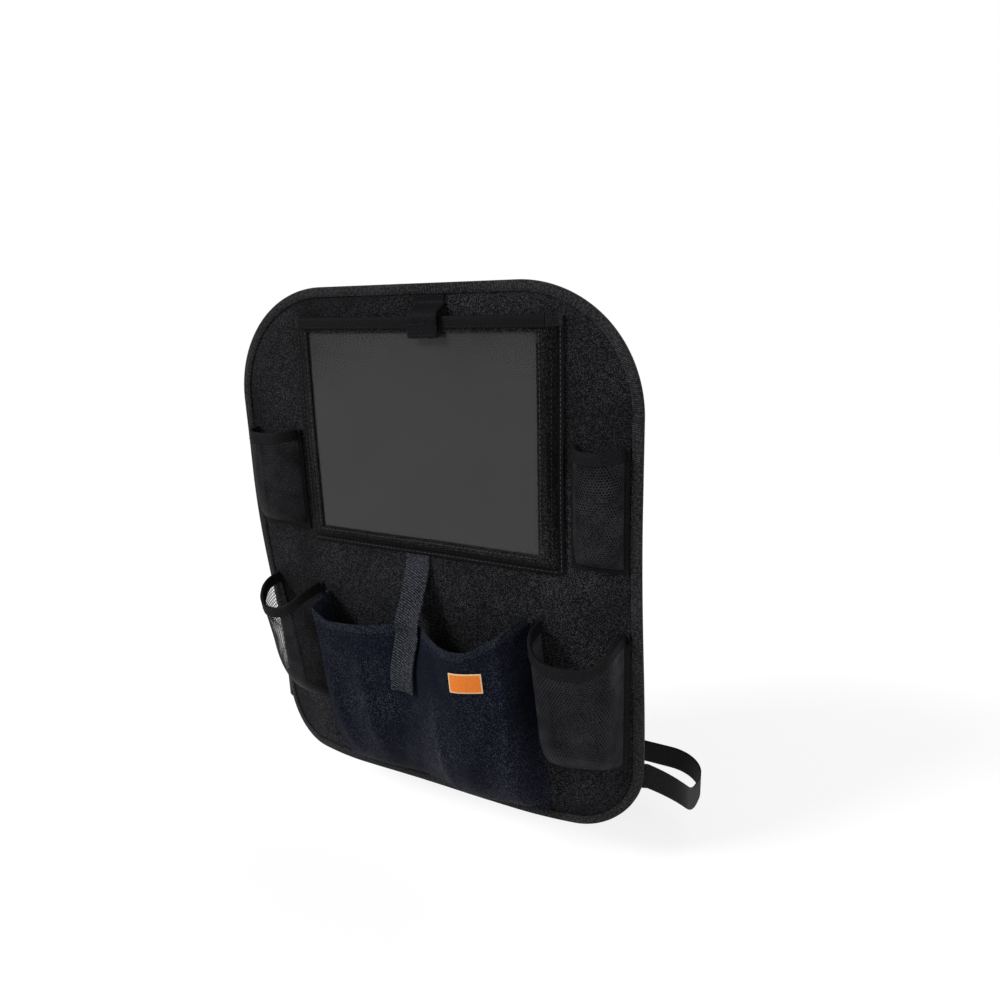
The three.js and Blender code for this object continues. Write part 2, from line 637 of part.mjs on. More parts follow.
// Strap round the seat back, sewn behind the panel's lower side
function seatStrap(side, barX, tail) {
  const { x, depth, bend, sewn, turn, drop } = seatLoop;
  const z = seatStrapZ;
  const near = gap + webbing.thickness / 2;
  const overTape = 2 * looseGap + edging.tape + webbing.thickness / 2;
  const edgeX = halfWidth + 2;
  const tapeX = halfWidth - edging.cover - 5;
  const edgeY = overTape + leanBack(edgeX, z);
  const path = new THREE.Path();
  path.moveTo(tapeX - sewn, near + leanBack(tapeX - sewn, z));
  const onPanel = 3;
  for (let k = 1; k <= onPanel; k += 1) {
    const at = mix(tapeX - sewn, tapeX - 3, k / onPanel);
    path.lineTo(at, near + leanBack(at, z));
  }
  path.lineTo(tapeX, overTape + leanBack(tapeX, z));
  path.lineTo(edgeX, edgeY);
  path.quadraticCurveTo(x, mix(edgeY, edgeY + turn, 0.3), x, edgeY + turn);
  path.lineTo(x, depth + wrap - bend);
  path.absarc(x - bend, depth + wrap - bend, bend, 0, Math.PI / 2, false);
  buckleEnd(path, side * barX, depth, tail);
  const points = mirrored(path.getPoints(4), side);
  const follows = onPanel + 2;
  const fades = (i) => THREE.MathUtils.clamp(1 - (i - follows) / 8, 0, 1);
  const leans = (px, pz, i) => (leanBack(px, pz) - leanBack(px, z)) * fades(i);
  const falling = (y) => THREE.MathUtils.clamp((y - edgeY) / (depth - bend - edgeY), 0, 1);
  const dropAt = (y) => drop * Math.sin((Math.PI / 2) * falling(y));
  return ribbon(points, z, dropAt, leans);
}

// Merges a geometry's vertices and makes a solid for joining and cutting
function solid(geometry) {
  const bare = geometry.clone();
  ["normal", "uv"].forEach((name) => bare.deleteAttribute(name));
  const merged = mergeVertices(bare, 1e-4);
  return new wasm.Manifold(new wasm.Mesh({
    numProp: 3,
    vertProperties: new Float32Array(merged.attributes.position.array),
    triVerts: new Uint32Array(merged.index.array),
  }));
}

function geometryOf(made) {
  const mesh = made.getMesh();
  const geometry = new THREE.BufferGeometry();
  geometry.setAttribute("position", new THREE.BufferAttribute(new Float32Array(mesh.vertProperties), 3));
  geometry.setIndex(new THREE.BufferAttribute(new Uint32Array(mesh.triVerts), 1));
  return geometry;
}

function block(x0, x1, y0, y1, z0, z1) {
  const box = new THREE.BoxGeometry(x1 - x0, y1 - y0, z1 - z0);
  return solid(box.translate((x0 + x1) / 2, (y0 + y1) / 2, (z0 + z1) / 2));
}

// An outline of [x, z] points, made solid between -half and half in y
function plate(outline, half, bevel) {
  const shape = new THREE.Shape(outline.map(([x, z]) => new THREE.Vector2(x, -z)));
  const geometry = new THREE.ExtrudeGeometry(shape, {
    depth: 2 * (half - bevel), bevelEnabled: bevel > 0, bevelThickness: bevel, bevelSize: bevel,
    bevelOffset: -bevel, bevelSegments: 1,
  });
  return solid(geometry.translate(0, 0, bevel - half).rotateX(Math.PI / 2));
}

function roundedOutline(x0, x1, halfZ, corner) {
  const points = [];
  [[x1, halfZ, 0], [x0, halfZ, 1], [x0, -halfZ, 2], [x1, -halfZ, 3]].forEach(([x, z, quarter]) => {
    const cx = x - Math.sign(x - (x0 + x1) / 2) * corner;
    const cz = z - Math.sign(z) * corner;
    for (let k = 0; k <= 3; k += 1) {
      const turn = (Math.PI / 2) * (quarter + k / 3);
      points.push([cx + corner * Math.cos(turn), cz + corner * Math.sin(turn)]);
    }
  });
  return points;
}

// Recesses above and below a bar, so that the webbing lies inside the buckle's thickness
function barRecess(made, x0, x1) {
  const deep = buckle.halfThickness + 1;
  return [1, -1].reduce((body, side) => {
    const near = side * (buckle.bar / 2);
    const far = side * deep;
    return body.subtract(block(x0, x1, Math.min(near, far), Math.max(near, far), -buckle.rail, buckle.rail));
  }, made);
}

const socketBar = buckle.socket - buckle.bar / 2; // bar centre, from the socket's mouth
const plugBar = -(buckle.plug - buckle.bar * 1.5 - buckle.slot); // inner bar centre, behind the mouth

// Buckle socket: mouth at x = 0, webbing bar at the far end
function buckleSocket() {
  const { socket, halfWidth: half, halfThickness, mouth, channel, wall, window, windowLength, slot } = buckle;
  const inside = halfThickness - wall;
  let body = plate(roundedOutline(0, socket, half, buckle.corner), halfThickness, buckle.bevel);
  body = body.subtract(block(-1, mouth, -inside, inside, -channel, channel));
  body = body.subtract(block(window, window + windowLength, -inside, inside, -half - 1, half + 1));
  const barStart = socket - buckle.bar;
  body = body.subtract(block(barStart - slot, barStart, -half, half, -buckle.rail, buckle.rail));
  return barRecess(body, barStart - slot, socket + 1);
}

// Buckle plug: a ladder of two bars behind the mouth, a guide and two sprung prongs in front
function bucklePlug() {
  const { plug, plugThickness, prong, prongWidth, channel, guide, barb, slot, bar, play, window } = buckle;
  const inside = buckle.halfThickness - buckle.wall - play;
  const reach = channel - play;
  let body = plate(roundedOutline(-plug, -play, buckle.halfWidth, buckle.corner), plugThickness, buckle.bevel);
  const inner = plugBar + bar / 2;
  const deep = half(plugThickness);
  const slotFrom = (x) => block(x, x + slot, -deep, deep, -buckle.rail, buckle.rail);
  body = body.subtract(slotFrom(inner));
  const outer = plugBar - bar / 2;
  body = body.subtract(slotFrom(outer - slot));
  body = barRecess(body, -plug - 1, inner + slot);
  const root = -play - 2;
  body = body.add(block(root, prong - 2, -inside, inside, -guide, guide));
  const catchX = window + play;
  [1, -1].forEach((side) => {
    const outline = [
      [root, reach - prongWidth], [prong - 3, reach - prongWidth - 1.5], [prong, reach - prongWidth],
      [prong, reach - 1], [catchX + 4.5, barb], [catchX, barb], [catchX, reach], [root, reach],
    ];
    const turned = side > 0 ? outline : outline.map(([x, z]) => [x, -z]).reverse();
    body = body.add(plate(turned, inside, 0));
  });
  return body;
}

function half(size) {
  return size + 1;
}

function placed(made, x, y, z) {
  return geometryOf(made).translate(x, y, z);
}

function strapPair(prefix, loop, z, strapOf) {
  add(`${prefix}_strap_right`, strapOf(1, loop.buckleX + socketBar, loop.tail / 2), finishes.webbing);
  add(`${prefix}_strap_left`, strapOf(-1, loop.buckleX + plugBar, loop.tail), finishes.webbing);
  add(`${prefix}_buckle_socket`, placed(buckleSocket(), loop.buckleX, loop.depth, z), finishes.plastic);
  add(`${prefix}_buckle_plug`, placed(bucklePlug(), loop.buckleX, loop.depth, z), finishes.plastic);
}

add("back_panel", backPanel(), finishes.fabric);
add("edge_binding", edgeBinding(), finishes.tape);
add("tablet_frame", tabletFrame(), finishes.fabric);
add("clear_window", clearWindow(), finishes.film);
add("pouch_mouth_tape", pouchMouthTape(), finishes.tape);
const tapeTop = pouchTop;
const sideLow = pouchBottom + flange;
add("pouch_tape_left", seamTape(pouchLeft, pouchLeft + flange, sideLow + gap, tapeTop, 4), finishes.tape);
add("pouch_tape_right", seamTape(pouchRight - flange, pouchRight, sideLow + gap, tapeTop, 4), finishes.tape);
add("pouch_tape_bottom", seamTape(pouchLeft, pouchRight, pouchBottom, sideLow, 10), finishes.tape);
closure();
meshPocket("tissue_pocket", tissuePocket);
meshPocket("pen_pocket", penPocket);
meshPocket("bottle_pocket", bottlePocket);
meshPocket("wipes_pocket", wipesPocket);
add("main_pocket", mainPocketWall(), finishes.fabric);
pocketClosure();
const labelCloth = onMainPocket(label.x, label.z, label.width, label.height, sewnOn, looseGap, label.tilt);
add("label", labelCloth, finishes.label);
strapPair("headrest", headrestLoop, headrestZ, headrestStrap);
strapPair("seat", seatLoop, seatStrapZ - seatLoop.drop, seatStrap);

export default group;
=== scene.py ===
"""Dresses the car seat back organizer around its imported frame.

Cloth, open mesh, webbing, clear film, a bare label and the stitching are built as fine meshes in the
place of the plain solids, in metres and in the same frame. The moulded buckles keep their own shape.
Sizes inside the classes are in millimetres, as a pattern cutter would write them.
"""
import logging
import math
from collections.abc import Callable, Sequence
from dataclasses import dataclass, field, replace
from enum import Enum
from functools import partial

import bpy
import numpy as np
from mathutils import Matrix, Vector


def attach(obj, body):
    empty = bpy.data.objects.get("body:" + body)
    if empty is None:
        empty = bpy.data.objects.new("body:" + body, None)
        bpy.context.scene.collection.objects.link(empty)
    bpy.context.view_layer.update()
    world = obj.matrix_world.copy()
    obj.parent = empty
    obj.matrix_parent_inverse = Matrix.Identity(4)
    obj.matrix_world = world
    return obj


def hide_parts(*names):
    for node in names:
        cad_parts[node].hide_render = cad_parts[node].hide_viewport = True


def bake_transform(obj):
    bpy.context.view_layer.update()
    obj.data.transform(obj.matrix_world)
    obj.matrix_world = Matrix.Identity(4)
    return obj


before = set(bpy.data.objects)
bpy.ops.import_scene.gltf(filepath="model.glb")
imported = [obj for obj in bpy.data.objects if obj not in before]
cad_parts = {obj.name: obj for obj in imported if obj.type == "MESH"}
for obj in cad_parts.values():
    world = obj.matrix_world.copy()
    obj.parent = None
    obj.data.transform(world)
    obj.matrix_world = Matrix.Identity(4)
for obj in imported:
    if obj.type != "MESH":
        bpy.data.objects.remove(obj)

LOG = logging.getLogger("organizer")
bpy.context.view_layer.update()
MM = 0.001
GAP = 0.3  # between sewn layers
LOOSE_GAP = 0.5  # between layers that follow one curved surface
CLOTH = 1.4  # thickness, as in the next four
WEBBING = 1.4
TOUCH = 1.0
TAPE = 0.9
SEAM_TAPE = 0.8
SOFT_EDGE = 0.45  # share of its thickness that a sheet keeps at its cut edge
SWELL = 1.04  # how far a folded tape's front leg stands out, as a share
SHARP = 50  # degrees between two faces from which their edge is sharp
STITCH_LIFT = 0.05  # between cloth and the line that stitches follow
Colour = tuple[float, float, float]
Place = tuple[float, float, float]
Grid = np.ndarray
Piece = bpy.types.Object
Material = bpy.types.Material
Socket = bpy.types.NodeSocket
Node = bpy.types.Node
Tree = bpy.types.NodeTree


class Body(Enum):
    """The rigid bodies that pieces ride on."""

    ORGANIZER = "organizer"
    HEADREST_PLUG = "headrest_plug"
    SEAT_PLUG = "seat_plug"


class Slot(Enum):
    """The record's material slots."""

    PANEL = "panel_fabric"
    POCKET = "pocket_fabric"
    TAPE = "binding_tape"
    MESH = "mesh_cloth"
    FILM = "clear_film"
    WEBBING = "webbing"
    TOUCH = "touch_tape"
    LABEL = "label_cloth"
    BUCKLE = "buckle_plastic"


class Side(Enum):
    """Left or right of the organizer, as a sign along X."""

    LEFT = -1
    RIGHT = 1


def smooth(t: Grid | float) -> Grid:
    """Eases from 0 to 1 while t goes from 0 to 1."""
    c = np.clip(t, 0, 1)
    return c * c * (3 - 2 * c)


def mix(a: Grid | float, b: Grid | float, t: Grid | float) -> Grid | float:
    """Goes from a to b while t goes from 0 to 1."""
    return a + (b - a) * t


def bell(x: Grid | float, centre: float, spread: float) -> Grid:
    """A hump of height 1 around centre."""
    return np.exp(-(((x - centre) / spread) ** 2))


def unit(v: Grid) -> Grid:
    """Scales the last axis to length 1."""
    return v / np.maximum(np.linalg.norm(v, axis=-1, keepdims=True), 1e-9)


def running_length(path: Grid, power: float = 1.0) -> Grid:
    """Length along a path up to each point, with each step raised to a power."""
    steps = np.linalg.norm(np.diff(path, axis=0), axis=-1) ** power
    return np.concatenate([np.zeros((1, *steps.shape[1:])), np.cumsum(steps, 0)])


def spaced(*stops: float, step: float) -> Grid:
    """Stations from the first stop to the last that keep every stop.

    Args:
        stops: values that the stations pass through, in order.
        step: largest distance between two stations.

    Returns:
        One rising or falling row of stations.
    """
    parts = []
    for a, b in zip(stops[:-1], stops[1:]):
        pieces = max(1, math.ceil(abs(b - a) / step))
        parts.append(np.linspace(a, b, pieces, endpoint=False))
    return np.concatenate([*parts, [stops[-1]]])


@dataclass(frozen=True)
class PanelShape:
    """The panel's outline, and the surface that every sewn piece follows."""

    width: float = 420
    height: float = 494
    thickness: float = 2.4
    top_corner: float = 108
    bottom_corner: float = 60
    cover: float = 9
    lean_depth: float = 22
    lean_flat: float = 90
    lean_from: float = 70
    lean_to: float = -200
    wave: float = 0.8

    @property
    def half_width_max(self) -> float:
        """Half of the panel's width."""
        return self.width / 2

    @property
    def half_height(self) -> float:
        """Half of the panel's height."""
        return self.height / 2

    @property
    def seam_z(self) -> float:
        """Height at which pieces on the face end, beside the binding."""
        return self.half_height - self.cover - LOOSE_GAP

    def lean(self, x: Grid, z: Grid) -> Grid:
        """How far the surface lies behind its flat middle."""
        side = np.maximum(0, (np.abs(x) - self.lean_flat) / (self.half_width_max - self.lean_flat))
        return self.lean_depth * side**2 * smooth((self.lean_from - z) / (self.lean_from - self.lean_to))

    def relief(self, x: Grid, z: Grid) -> Grid:
        """Slow waves of hanging cloth, shared by all layers.

        Args:
            x: places across.
            z: heights.

        Returns:
            How far the surface lies behind its flat middle there.
        """
        slow = np.sin(x / 47 + 1.3) * np.sin(z / 61 + 0.4)
        fine = np.sin(x / 23 - z / 31 + 0.8)
        return self.wave * (0.6 * slow + 0.4 * fine)

    def half_width(self, z: Grid, inset: float) -> Grid:
        """Half of the outline's width at a height.

        Args:
            z: heights.
            inset: how far inside the panel's edge the outline runs.

        Returns:
            Distance from the middle to the outline.
        """
        corner = np.where(z > 0, self.top_corner, self.bottom_corner) - inset
        beyond = np.maximum(0, np.abs(z) - (self.half_height - inset - corner))
        across = self.half_width_max - inset - corner
        return across + np.sqrt(np.maximum(0, corner**2 - beyond**2))

    def on_face(self, x: Grid, z: Grid, above: Grid | float) -> Grid:
        """Points that stand above the panel's front face."""
        x, z, above = np.broadcast_arrays(x, z, above)
        return np.stack([x, -self.thickness - above + self.lean(x, z) + self.relief(x, z), z], -1)

    def sway(self, x: Grid, z: Grid) -> Grid:
        """How far the surface lies behind its flat middle, waves and all."""
        return self.lean(x, z) + self.relief(x, z)

    def on_back(self, x: Grid, z: Grid, behind: Grid | float) -> Grid:
        """Points that stand behind the panel's back."""
        x, z, behind = np.broadcast_arrays(x, z, behind)
        return np.stack([x, behind + self.lean(x, z) + self.relief(x, z), z], -1)


PANEL = PanelShape()


# Mesh making


def make_object(name: str, points: Grid, faces: Sequence, uv: Grid, finish: str) -> Piece:
    """Makes an object from points in millimetres.

    Args:
        name: the piece's name.
        points: one row of x, y, z for each vertex.
        faces: vertex numbers of each face.
        uv: cloth coordinates of each vertex, in metres.
        finish: its finish.

    Returns:
        The new object, linked into the scene.
    """
    mesh = bpy.data.meshes.new(name)
    mesh.from_pydata((np.asarray(points) * MM).tolist(), [], [list(map(int, face)) for face in faces])
    layer = mesh.uv_layers.new(name="cloth")
    corners = np.zeros(len(mesh.loops), np.int32)
    mesh.loops.foreach_get("vertex_index", corners)
    layer.data.foreach_set("uv", np.asarray(uv, np.float32)[corners].ravel())
    mesh.polygons.foreach_set("use_smooth", np.ones(len(mesh.polygons), bool))
    mesh.materials.append(WARDROBE.get(finish))
    mesh.set_sharp_from_angle(angle=math.radians(SHARP))
    mesh.update()
    made = bpy.data.objects.new(name, mesh)
    bpy.context.scene.collection.objects.link(made)
    return made


def grid_normals(grid: Grid) -> Grid:
    """Unit normals of a grid of points, to the front."""
    return unit(np.cross(np.gradient(grid, axis=0), np.gradient(grid, axis=1)))


def cloth_uv(grid: Grid) -> Grid:
    """Cloth coordinates of a grid, measured along its surface.

    Args:
        grid: points in millimetres.

    Returns:
        Two coordinates for each point, in metres.
    """
    u = running_length(grid)
    v = running_length(grid.transpose(1, 0, 2)).T
    u = u - u[len(u) // 2]
    return np.stack([u, v], -1) * MM


def with_rim(grid: Grid, inset: float = 0.35) -> Grid:
    """Adds a line of points close inside each border, for a soft cut edge.

    Args:
        grid: points in millimetres.
        inset: distance of the new line from the border.

    Returns:
        The grid with four more lines.
    """

    def add(g: Grid) -> Grid:
        """Adds a line beside the first and beside the last line.

        Args:
            g: the grid.

        Returns:
            The grid with two more lines.
        """
        near = []
        for edge, inner in ((g[0], g[1]), (g[-1], g[-2])):
            step = inner - edge
            far = np.maximum(np.linalg.norm(step, axis=-1, keepdims=True), 1e-9)
            near.append(edge + step * np.minimum(inset / far, 0.4))
        return np.concatenate([g[:1], near[0][None], g[1:-1], near[1][None], g[-1:]])

    return add(add(grid).transpose(1, 0, 2)).transpose(1, 0, 2)


def border_quads(filled: Grid, columns: int, rows: int) -> list[list[int]]:
    """Faces that close a two-layer grid round its borders and gaps.

    Args:
        filled: which cells hold cloth.
        columns: points across a layer.
        rows: points up a layer.

    Returns:
        Vertex numbers of each face.
    """
    padded = np.pad(filled, 1)
    layer = columns * rows
    quads = []
    for i, j in np.argwhere(filled):
        a, b = i * rows + j, (i + 1) * rows + j
        c, d = b + 1, a + 1
        if not padded[i + 1, j]:
            quads.append([a + layer, b + layer, b, a])
        if not padded[i + 1, j + 2]:
            quads.append([d, c, c + layer, d + layer])
        if not padded[i, j + 1]:
            quads.append([a + layer, a, d, d + layer])
        if not padded[i + 2, j + 1]:
            quads.append([b, b + layer, c + layer, c])
    return quads


def slab(name: str, middle: Grid, thickness: float, finish: str, filled: Grid | None = None) -> Piece:
    """Makes a closed sheet of even thickness with soft edges.

    Args:
        name: the piece's name.
        middle: grid of points halfway through the sheet, in millimetres.
        thickness: the sheet's thickness.
        finish: its finish.
        filled: which cells hold cloth; all of them if left out.

    Returns:
        The sheet as an object.
    """
    grid = with_rim(middle) if filled is None else middle
    columns, rows = grid.shape[:2]
    half = np.full((columns, rows, 1), thickness / 2)
    if filled is None:
        filled = np.ones((columns - 1, rows - 1), bool)
        for edge in (half[0], half[-1], half[:, 0], half[:, -1]):
            edge *= SOFT_EDGE
    normals = grid_normals(grid)
    points = np.concatenate([grid + normals * half, grid - normals * half]).reshape(-1, 3)
    i, j = np.nonzero(filled)
    a, b = i * rows + j, (i + 1) * rows + j
    layer = columns * rows
    front = np.stack([a, b, b + 1, a + 1], 1)
    back = np.stack([a, a + 1, b + 1, b], 1) + layer
    faces = [*front.tolist(), *back.tolist(), *border_quads(filled, columns, rows)]
    uv = np.tile(cloth_uv(grid).reshape(-1, 2), (2, 1))
    used = np.unique(np.concatenate([np.ravel(face) for face in faces]))
    order = np.full(len(points), -1)
    order[used] = np.arange(len(used))
    faces = [[int(order[k]) for k in face] for face in faces]
    return make_object(name, points[used], faces, uv[used], finish)


def swept(name: str, at: Grid, out: Grid, along: Grid, section: Grid, finish: str) -> Piece:
    """Sweeps a closed section along an open row of frames.

    Args:
        name: the piece's name.
        at: origin of each frame.
        out: direction of the section's first coordinate in each frame.
        along: direction of its second coordinate.
        section: the section's points.
        finish: its finish.

    Returns:
        The swept object.
    """
    rings = at[:, None] + out[:, None] * section[None, :, :1] + along[:, None] * section[None, :, 1:]
    uv = np.stack(np.broadcast_arrays(running_length(at)[:, None], running_length(section)[None, :]), -1)
    return ringed(name, rings, uv, False, finish)


def ringed(name: str, rings: Grid, uv: Grid, closed: bool, finish: str) -> Piece:
    """Joins a row of rings of points into one closed skin.

    Args:
        name: the piece's name.
        rings: one ring of points for each station.
        uv: cloth coordinates of each point, in millimetres.
        closed: whether the last ring joins the first; if not, both ends are capped.
        finish: its finish.

    Returns:
        The skin as an object.
    """
    frames, n = rings.shape[:2]
    i, k = np.meshgrid(np.arange(frames if closed else frames - 1), np.arange(n), indexing="ij")
    following, beside = (i + 1) % frames, (k + 1) % n
    corners = (i * n + k, i * n + beside, following * n + beside, following * n + k)
    faces = np.stack(corners, -1).reshape(-1, 4).tolist()
    if not closed:
        faces += [list(range(n))[::-1], list(range((frames - 1) * n, frames * n))]
    made = make_object(name, rings.reshape(-1, 3), faces, uv.reshape(-1, 2) * MM, finish)
    turn_outward(made)
    return made


def turn_outward(made: Piece) -> None:
    """Turns a closed mesh's faces round if they look inwards.

    Args:
        made: the object to look at.
    """
    mesh = made.data
    mesh.calc_loop_triangles()
    corners = np.zeros(len(mesh.loop_triangles) * 3, np.int32)
    mesh.loop_triangles.foreach_get("vertices", corners)
    co = np.zeros(len(mesh.vertices) * 3, np.float32)
    mesh.vertices.foreach_get("co", co)
    a, b, c = co.reshape(-1, 3)[corners.reshape(-1, 3)].transpose(1, 0, 2)
    if (a * np.cross(b, c)).sum() < 0:
        mesh.flip_normals()


def tape_section(inner: float, outer: float, height: float, inside: float, lip: float) -> Grid:
    """Section of a tape folded over an edge, with a round fold at its top.

    Args:
        inner: distance of the tape's inside from the edge's middle.
        outer: distance of its outside.
        height: how far its legs reach down.
        inside: height of the fold's inside.
        lip: height of the fold's outside.

    Returns:
        Points of the section, as distance from the edge's middle and height.
    """
    turns = np.linspace(0, math.pi, 9)
    over = np.stack([outer * np.cos(turns), lip * np.sin(turns)], 1)
    under = np.stack([inner * np.cos(turns[::-1]), inside * np.sin(turns[::-1])], 1)
    near = [(outer, -height), (outer * SWELL, -height * 0.6), (outer * SWELL, -height * 0.3)]
    far = [(-outer, -height * 0.5), (-outer, -height), (-inner, -height)]
    return np.concatenate([near, over, far, under, [(inner, -height)]])


def curve_span(points: Grid, knots: Grid, t: Grid) -> Grid:
    """Points of a smooth curve between the second and third of four points.

    Args:
        points: the four points.
        knots: their places along the curve.
        t: places between the second and the third knot.

    Returns:
        One point for each place.
    """

    def between(a: Grid, b: Grid, i: int, j: int) -> Grid:
        """Goes from a at knot i to b at knot j."""
        return (a * (knots[j] - t) + b * (t - knots[i])) / (knots[j] - knots[i])

    first = [between(points[i], points[i + 1], i, i + 1) for i in range(3)]
    second = [between(first[i], first[i + 1], i, i + 2) for i in range(2)]
    return between(second[0], second[1], 1, 2)


def smooth_curve(points: Sequence[Sequence[float]], pieces: int) -> Grid:
    """A smooth curve through points, without loops or overshoot.

    Args:
        points: what the curve passes through.
        pieces: steps between each two points.

    Returns:
        The curve's points.
    """
    p = np.asarray(points, float)
    p = np.concatenate([[2 * p[0] - p[1]], p, [2 * p[-1] - p[-2]]])
    knots = running_length(p, 0.5)
    spans = []
    for k in range(1, len(p) - 2):
        t = np.linspace(knots[k], knots[k + 1], pieces, endpoint=False)[:, None]
        spans.append(curve_span(p[k - 1 : k + 3], knots[k - 1 : k + 3], t))
    return np.concatenate([*spans, p[-2:-1]])


# Shader building


class Graph:
    """Adds shader nodes to a tree and links them."""

    def __init__(self, tree: Tree) -> None:
        """Keeps the tree that nodes are added to."""
        self.tree = tree

    def add(self, kind: str, **settings: object) -> Node:
        """Adds a node and sets its properties.

        Args:
            kind: the node's type.
            settings: its properties.

        Returns:
            The node.
        """
        node = self.tree.nodes.new(kind)
        for key, value in settings.items():
            setattr(node, key, value)
        return node

    def link(self, out: Socket, into: Socket) -> None:
        """Links an output to an input."""
        self.tree.links.new(out, into)

    def feed(self, socket: Socket, value: object) -> None:
        """Links a socket to an output, or sets its value.

        Args:
            socket: the input to feed.
            value: an output or a plain value.
        """
        if isinstance(value, Socket):
            self.link(value, socket)
        else:
            socket.default_value = value

    def math(self, operation: str, a: object, b: object = 0.0) -> Socket:
        """Adds a Math node.

        Args:
            operation: the node's operation.
            a: first value or output.
            b: second value or output.

        Returns:
            The node's output.
        """
        node = self.add("ShaderNodeMath", operation=operation)
        self.feed(node.inputs[0], a)
        self.feed(node.inputs[1], b)
        return node.outputs[0]

    def scaled(self, a: object, factor: float, more: float) -> Socket:
        """Multiplies an output by a factor and adds a constant.

        Args:
            a: the output.
            factor: what it is multiplied by.
            more: what is added.

        Returns:
            The node's output.
        """
        node = self.add("ShaderNodeMath", operation="MULTIPLY_ADD")
        self.feed(node.inputs[0], a)
        node.inputs[1].default_value = factor
        node.inputs[2].default_value = more
        return node.outputs[0]

    def wave(self, phase: object) -> Socket:
        """Round ridges, one for each whole step of the phase."""
        return self.math("ABSOLUTE", self.math("SINE", self.math("MULTIPLY", phase, math.pi)))

    def ramp(self, value: Socket, low: float, high: float) -> Socket:
        """Goes from 0 to 1 while a value goes from low to high.

        Args:
            value: the output that goes up.
            low: where the result leaves 0.
            high: where it reaches 1.

        Returns:
            The node's output.
        """
        node = self.add("ShaderNodeMapRange", clamp=True)
        self.link(value, node.inputs[0])
        node.inputs[1].default_value = low
        node.inputs[2].default_value = high
        return node.outputs[0]

    def between(self, share: object, a: object, b: object) -> Socket:
        """Mixes two values by a share.

        Args:
            share: 0 for a, 1 for b.
            a: first value.
            b: second value.

        Returns:
            The mixed value.
        """
        node = self.add("ShaderNodeMix", data_type="FLOAT")
        for place, value in ((0, share), (2, a), (3, b)):
            self.feed(node.inputs[place], value)
        return node.outputs[0]

    def uv(self) -> tuple[Socket, Socket, Socket]:
        """Adds the cloth coordinates.

        Returns:
            Both coordinates as one output, then each one.
        """
        place = self.add("ShaderNodeTexCoord").outputs["UV"]
        parts = self.add("ShaderNodeSeparateXYZ")
        self.link(place, parts.inputs[0])
        return place, parts.outputs[0], parts.outputs[1]

    def join(self, share: Socket, a: Node, b: Node, end: Node) -> None:
        """Mixes two shaders by a share and ends the tree with the result.

        Args:
            share: 0 for a, 1 for b.
            a: first shader.
            b: second shader.
            end: the tree's output node.
        """
        node = self.add("ShaderNodeMixShader")
        for place, out in enumerate((share, a.outputs[0], b.outputs[0])):
            self.link(out, node.inputs[place])
        self.link(node.outputs[0], end.inputs["Surface"])

    def blend(self, share: object, a: object, b: object) -> Socket:
        """Mixes two colours by a share.

        Args:
            share: 0 for a, 1 for b.
            a: first colour.
            b: second colour.

        Returns:
            The mixed colour.
        """
        node = self.add("ShaderNodeMix", data_type="RGBA")
        self.feed(node.inputs[0], share)
        self.feed(node.inputs[6], (*a, 1.0) if isinstance(a, tuple) else a)
        self.feed(node.inputs[7], (*b, 1.0) if isinstance(b, tuple) else b)
        return node.outputs[2]


def new_group(
    name: str, inputs: dict[str, float], outputs: Sequence[str],
) -> tuple[Graph, Node, Node]:
    """Starts a shader node group with float inputs and outputs.

    Args:
        name: the group's name.
        inputs: name and starting value of each input.
        outputs: names of the outputs.

    Returns:
        The group's graph, its input node and its output node.
    """
    tree = bpy.data.node_groups.new(name, "ShaderNodeTree")
    for key, value in inputs.items():
        socket = tree.interface.new_socket(name=key, in_out="INPUT", socket_type="NodeSocketFloat")
        socket.default_value = value
    for key in outputs:
        tree.interface.new_socket(name=key, in_out="OUTPUT", socket_type="NodeSocketFloat")
    graph = Graph(tree)
    return graph, graph.add("NodeGroupInput"), graph.add("NodeGroupOutput")


def weave_group() -> Tree:
    """Plain weave: threads over and under, with some paler crossings.

    Returns:
        The group, with the weave's height and a mask of its pale crossings.
    """
    graph, given, result = new_group("plain_weave", {"Pitch": 0.0007, "Flecks": 0.2}, ["Height", "Fleck"])
    _, across, up = graph.uv()
    x = graph.math("DIVIDE", across, given.outputs["Pitch"])
    y = graph.math("DIVIDE", up, given.outputs["Pitch"])
    ridge_x, ridge_y = graph.wave(x), graph.wave(y)
    cell_x, cell_y = graph.math("FLOOR", x), graph.math("FLOOR", y)
    over = graph.math("PINGPONG", graph.math("ADD", cell_x, cell_y), 1.0)
    warp = graph.math("MULTIPLY", ridge_x, graph.scaled(ridge_y, 0.5, 0.5))
    weft = graph.math("MULTIPLY", ridge_y, graph.scaled(ridge_x, 0.5, 0.5))
    height = graph.between(over, weft, warp)
    cell = graph.add("ShaderNodeCombineXYZ")
    graph.link(cell_x, cell.inputs[0])
    graph.link(cell_y, cell.inputs[1])
    chance = graph.add("ShaderNodeTexWhiteNoise", noise_dimensions="2D")
    graph.link(cell.outputs[0], chance.inputs["Vector"])
    picked = graph.math("LESS_THAN", chance.outputs["Value"], given.outputs["Flecks"])
    graph.link(height, result.inputs["Height"])
    # the flecks fade with the height, as painted shade in the weave's valleys
    graph.link(graph.math("MULTIPLY", picked, height), result.inputs["Fleck"])
    return graph.tree


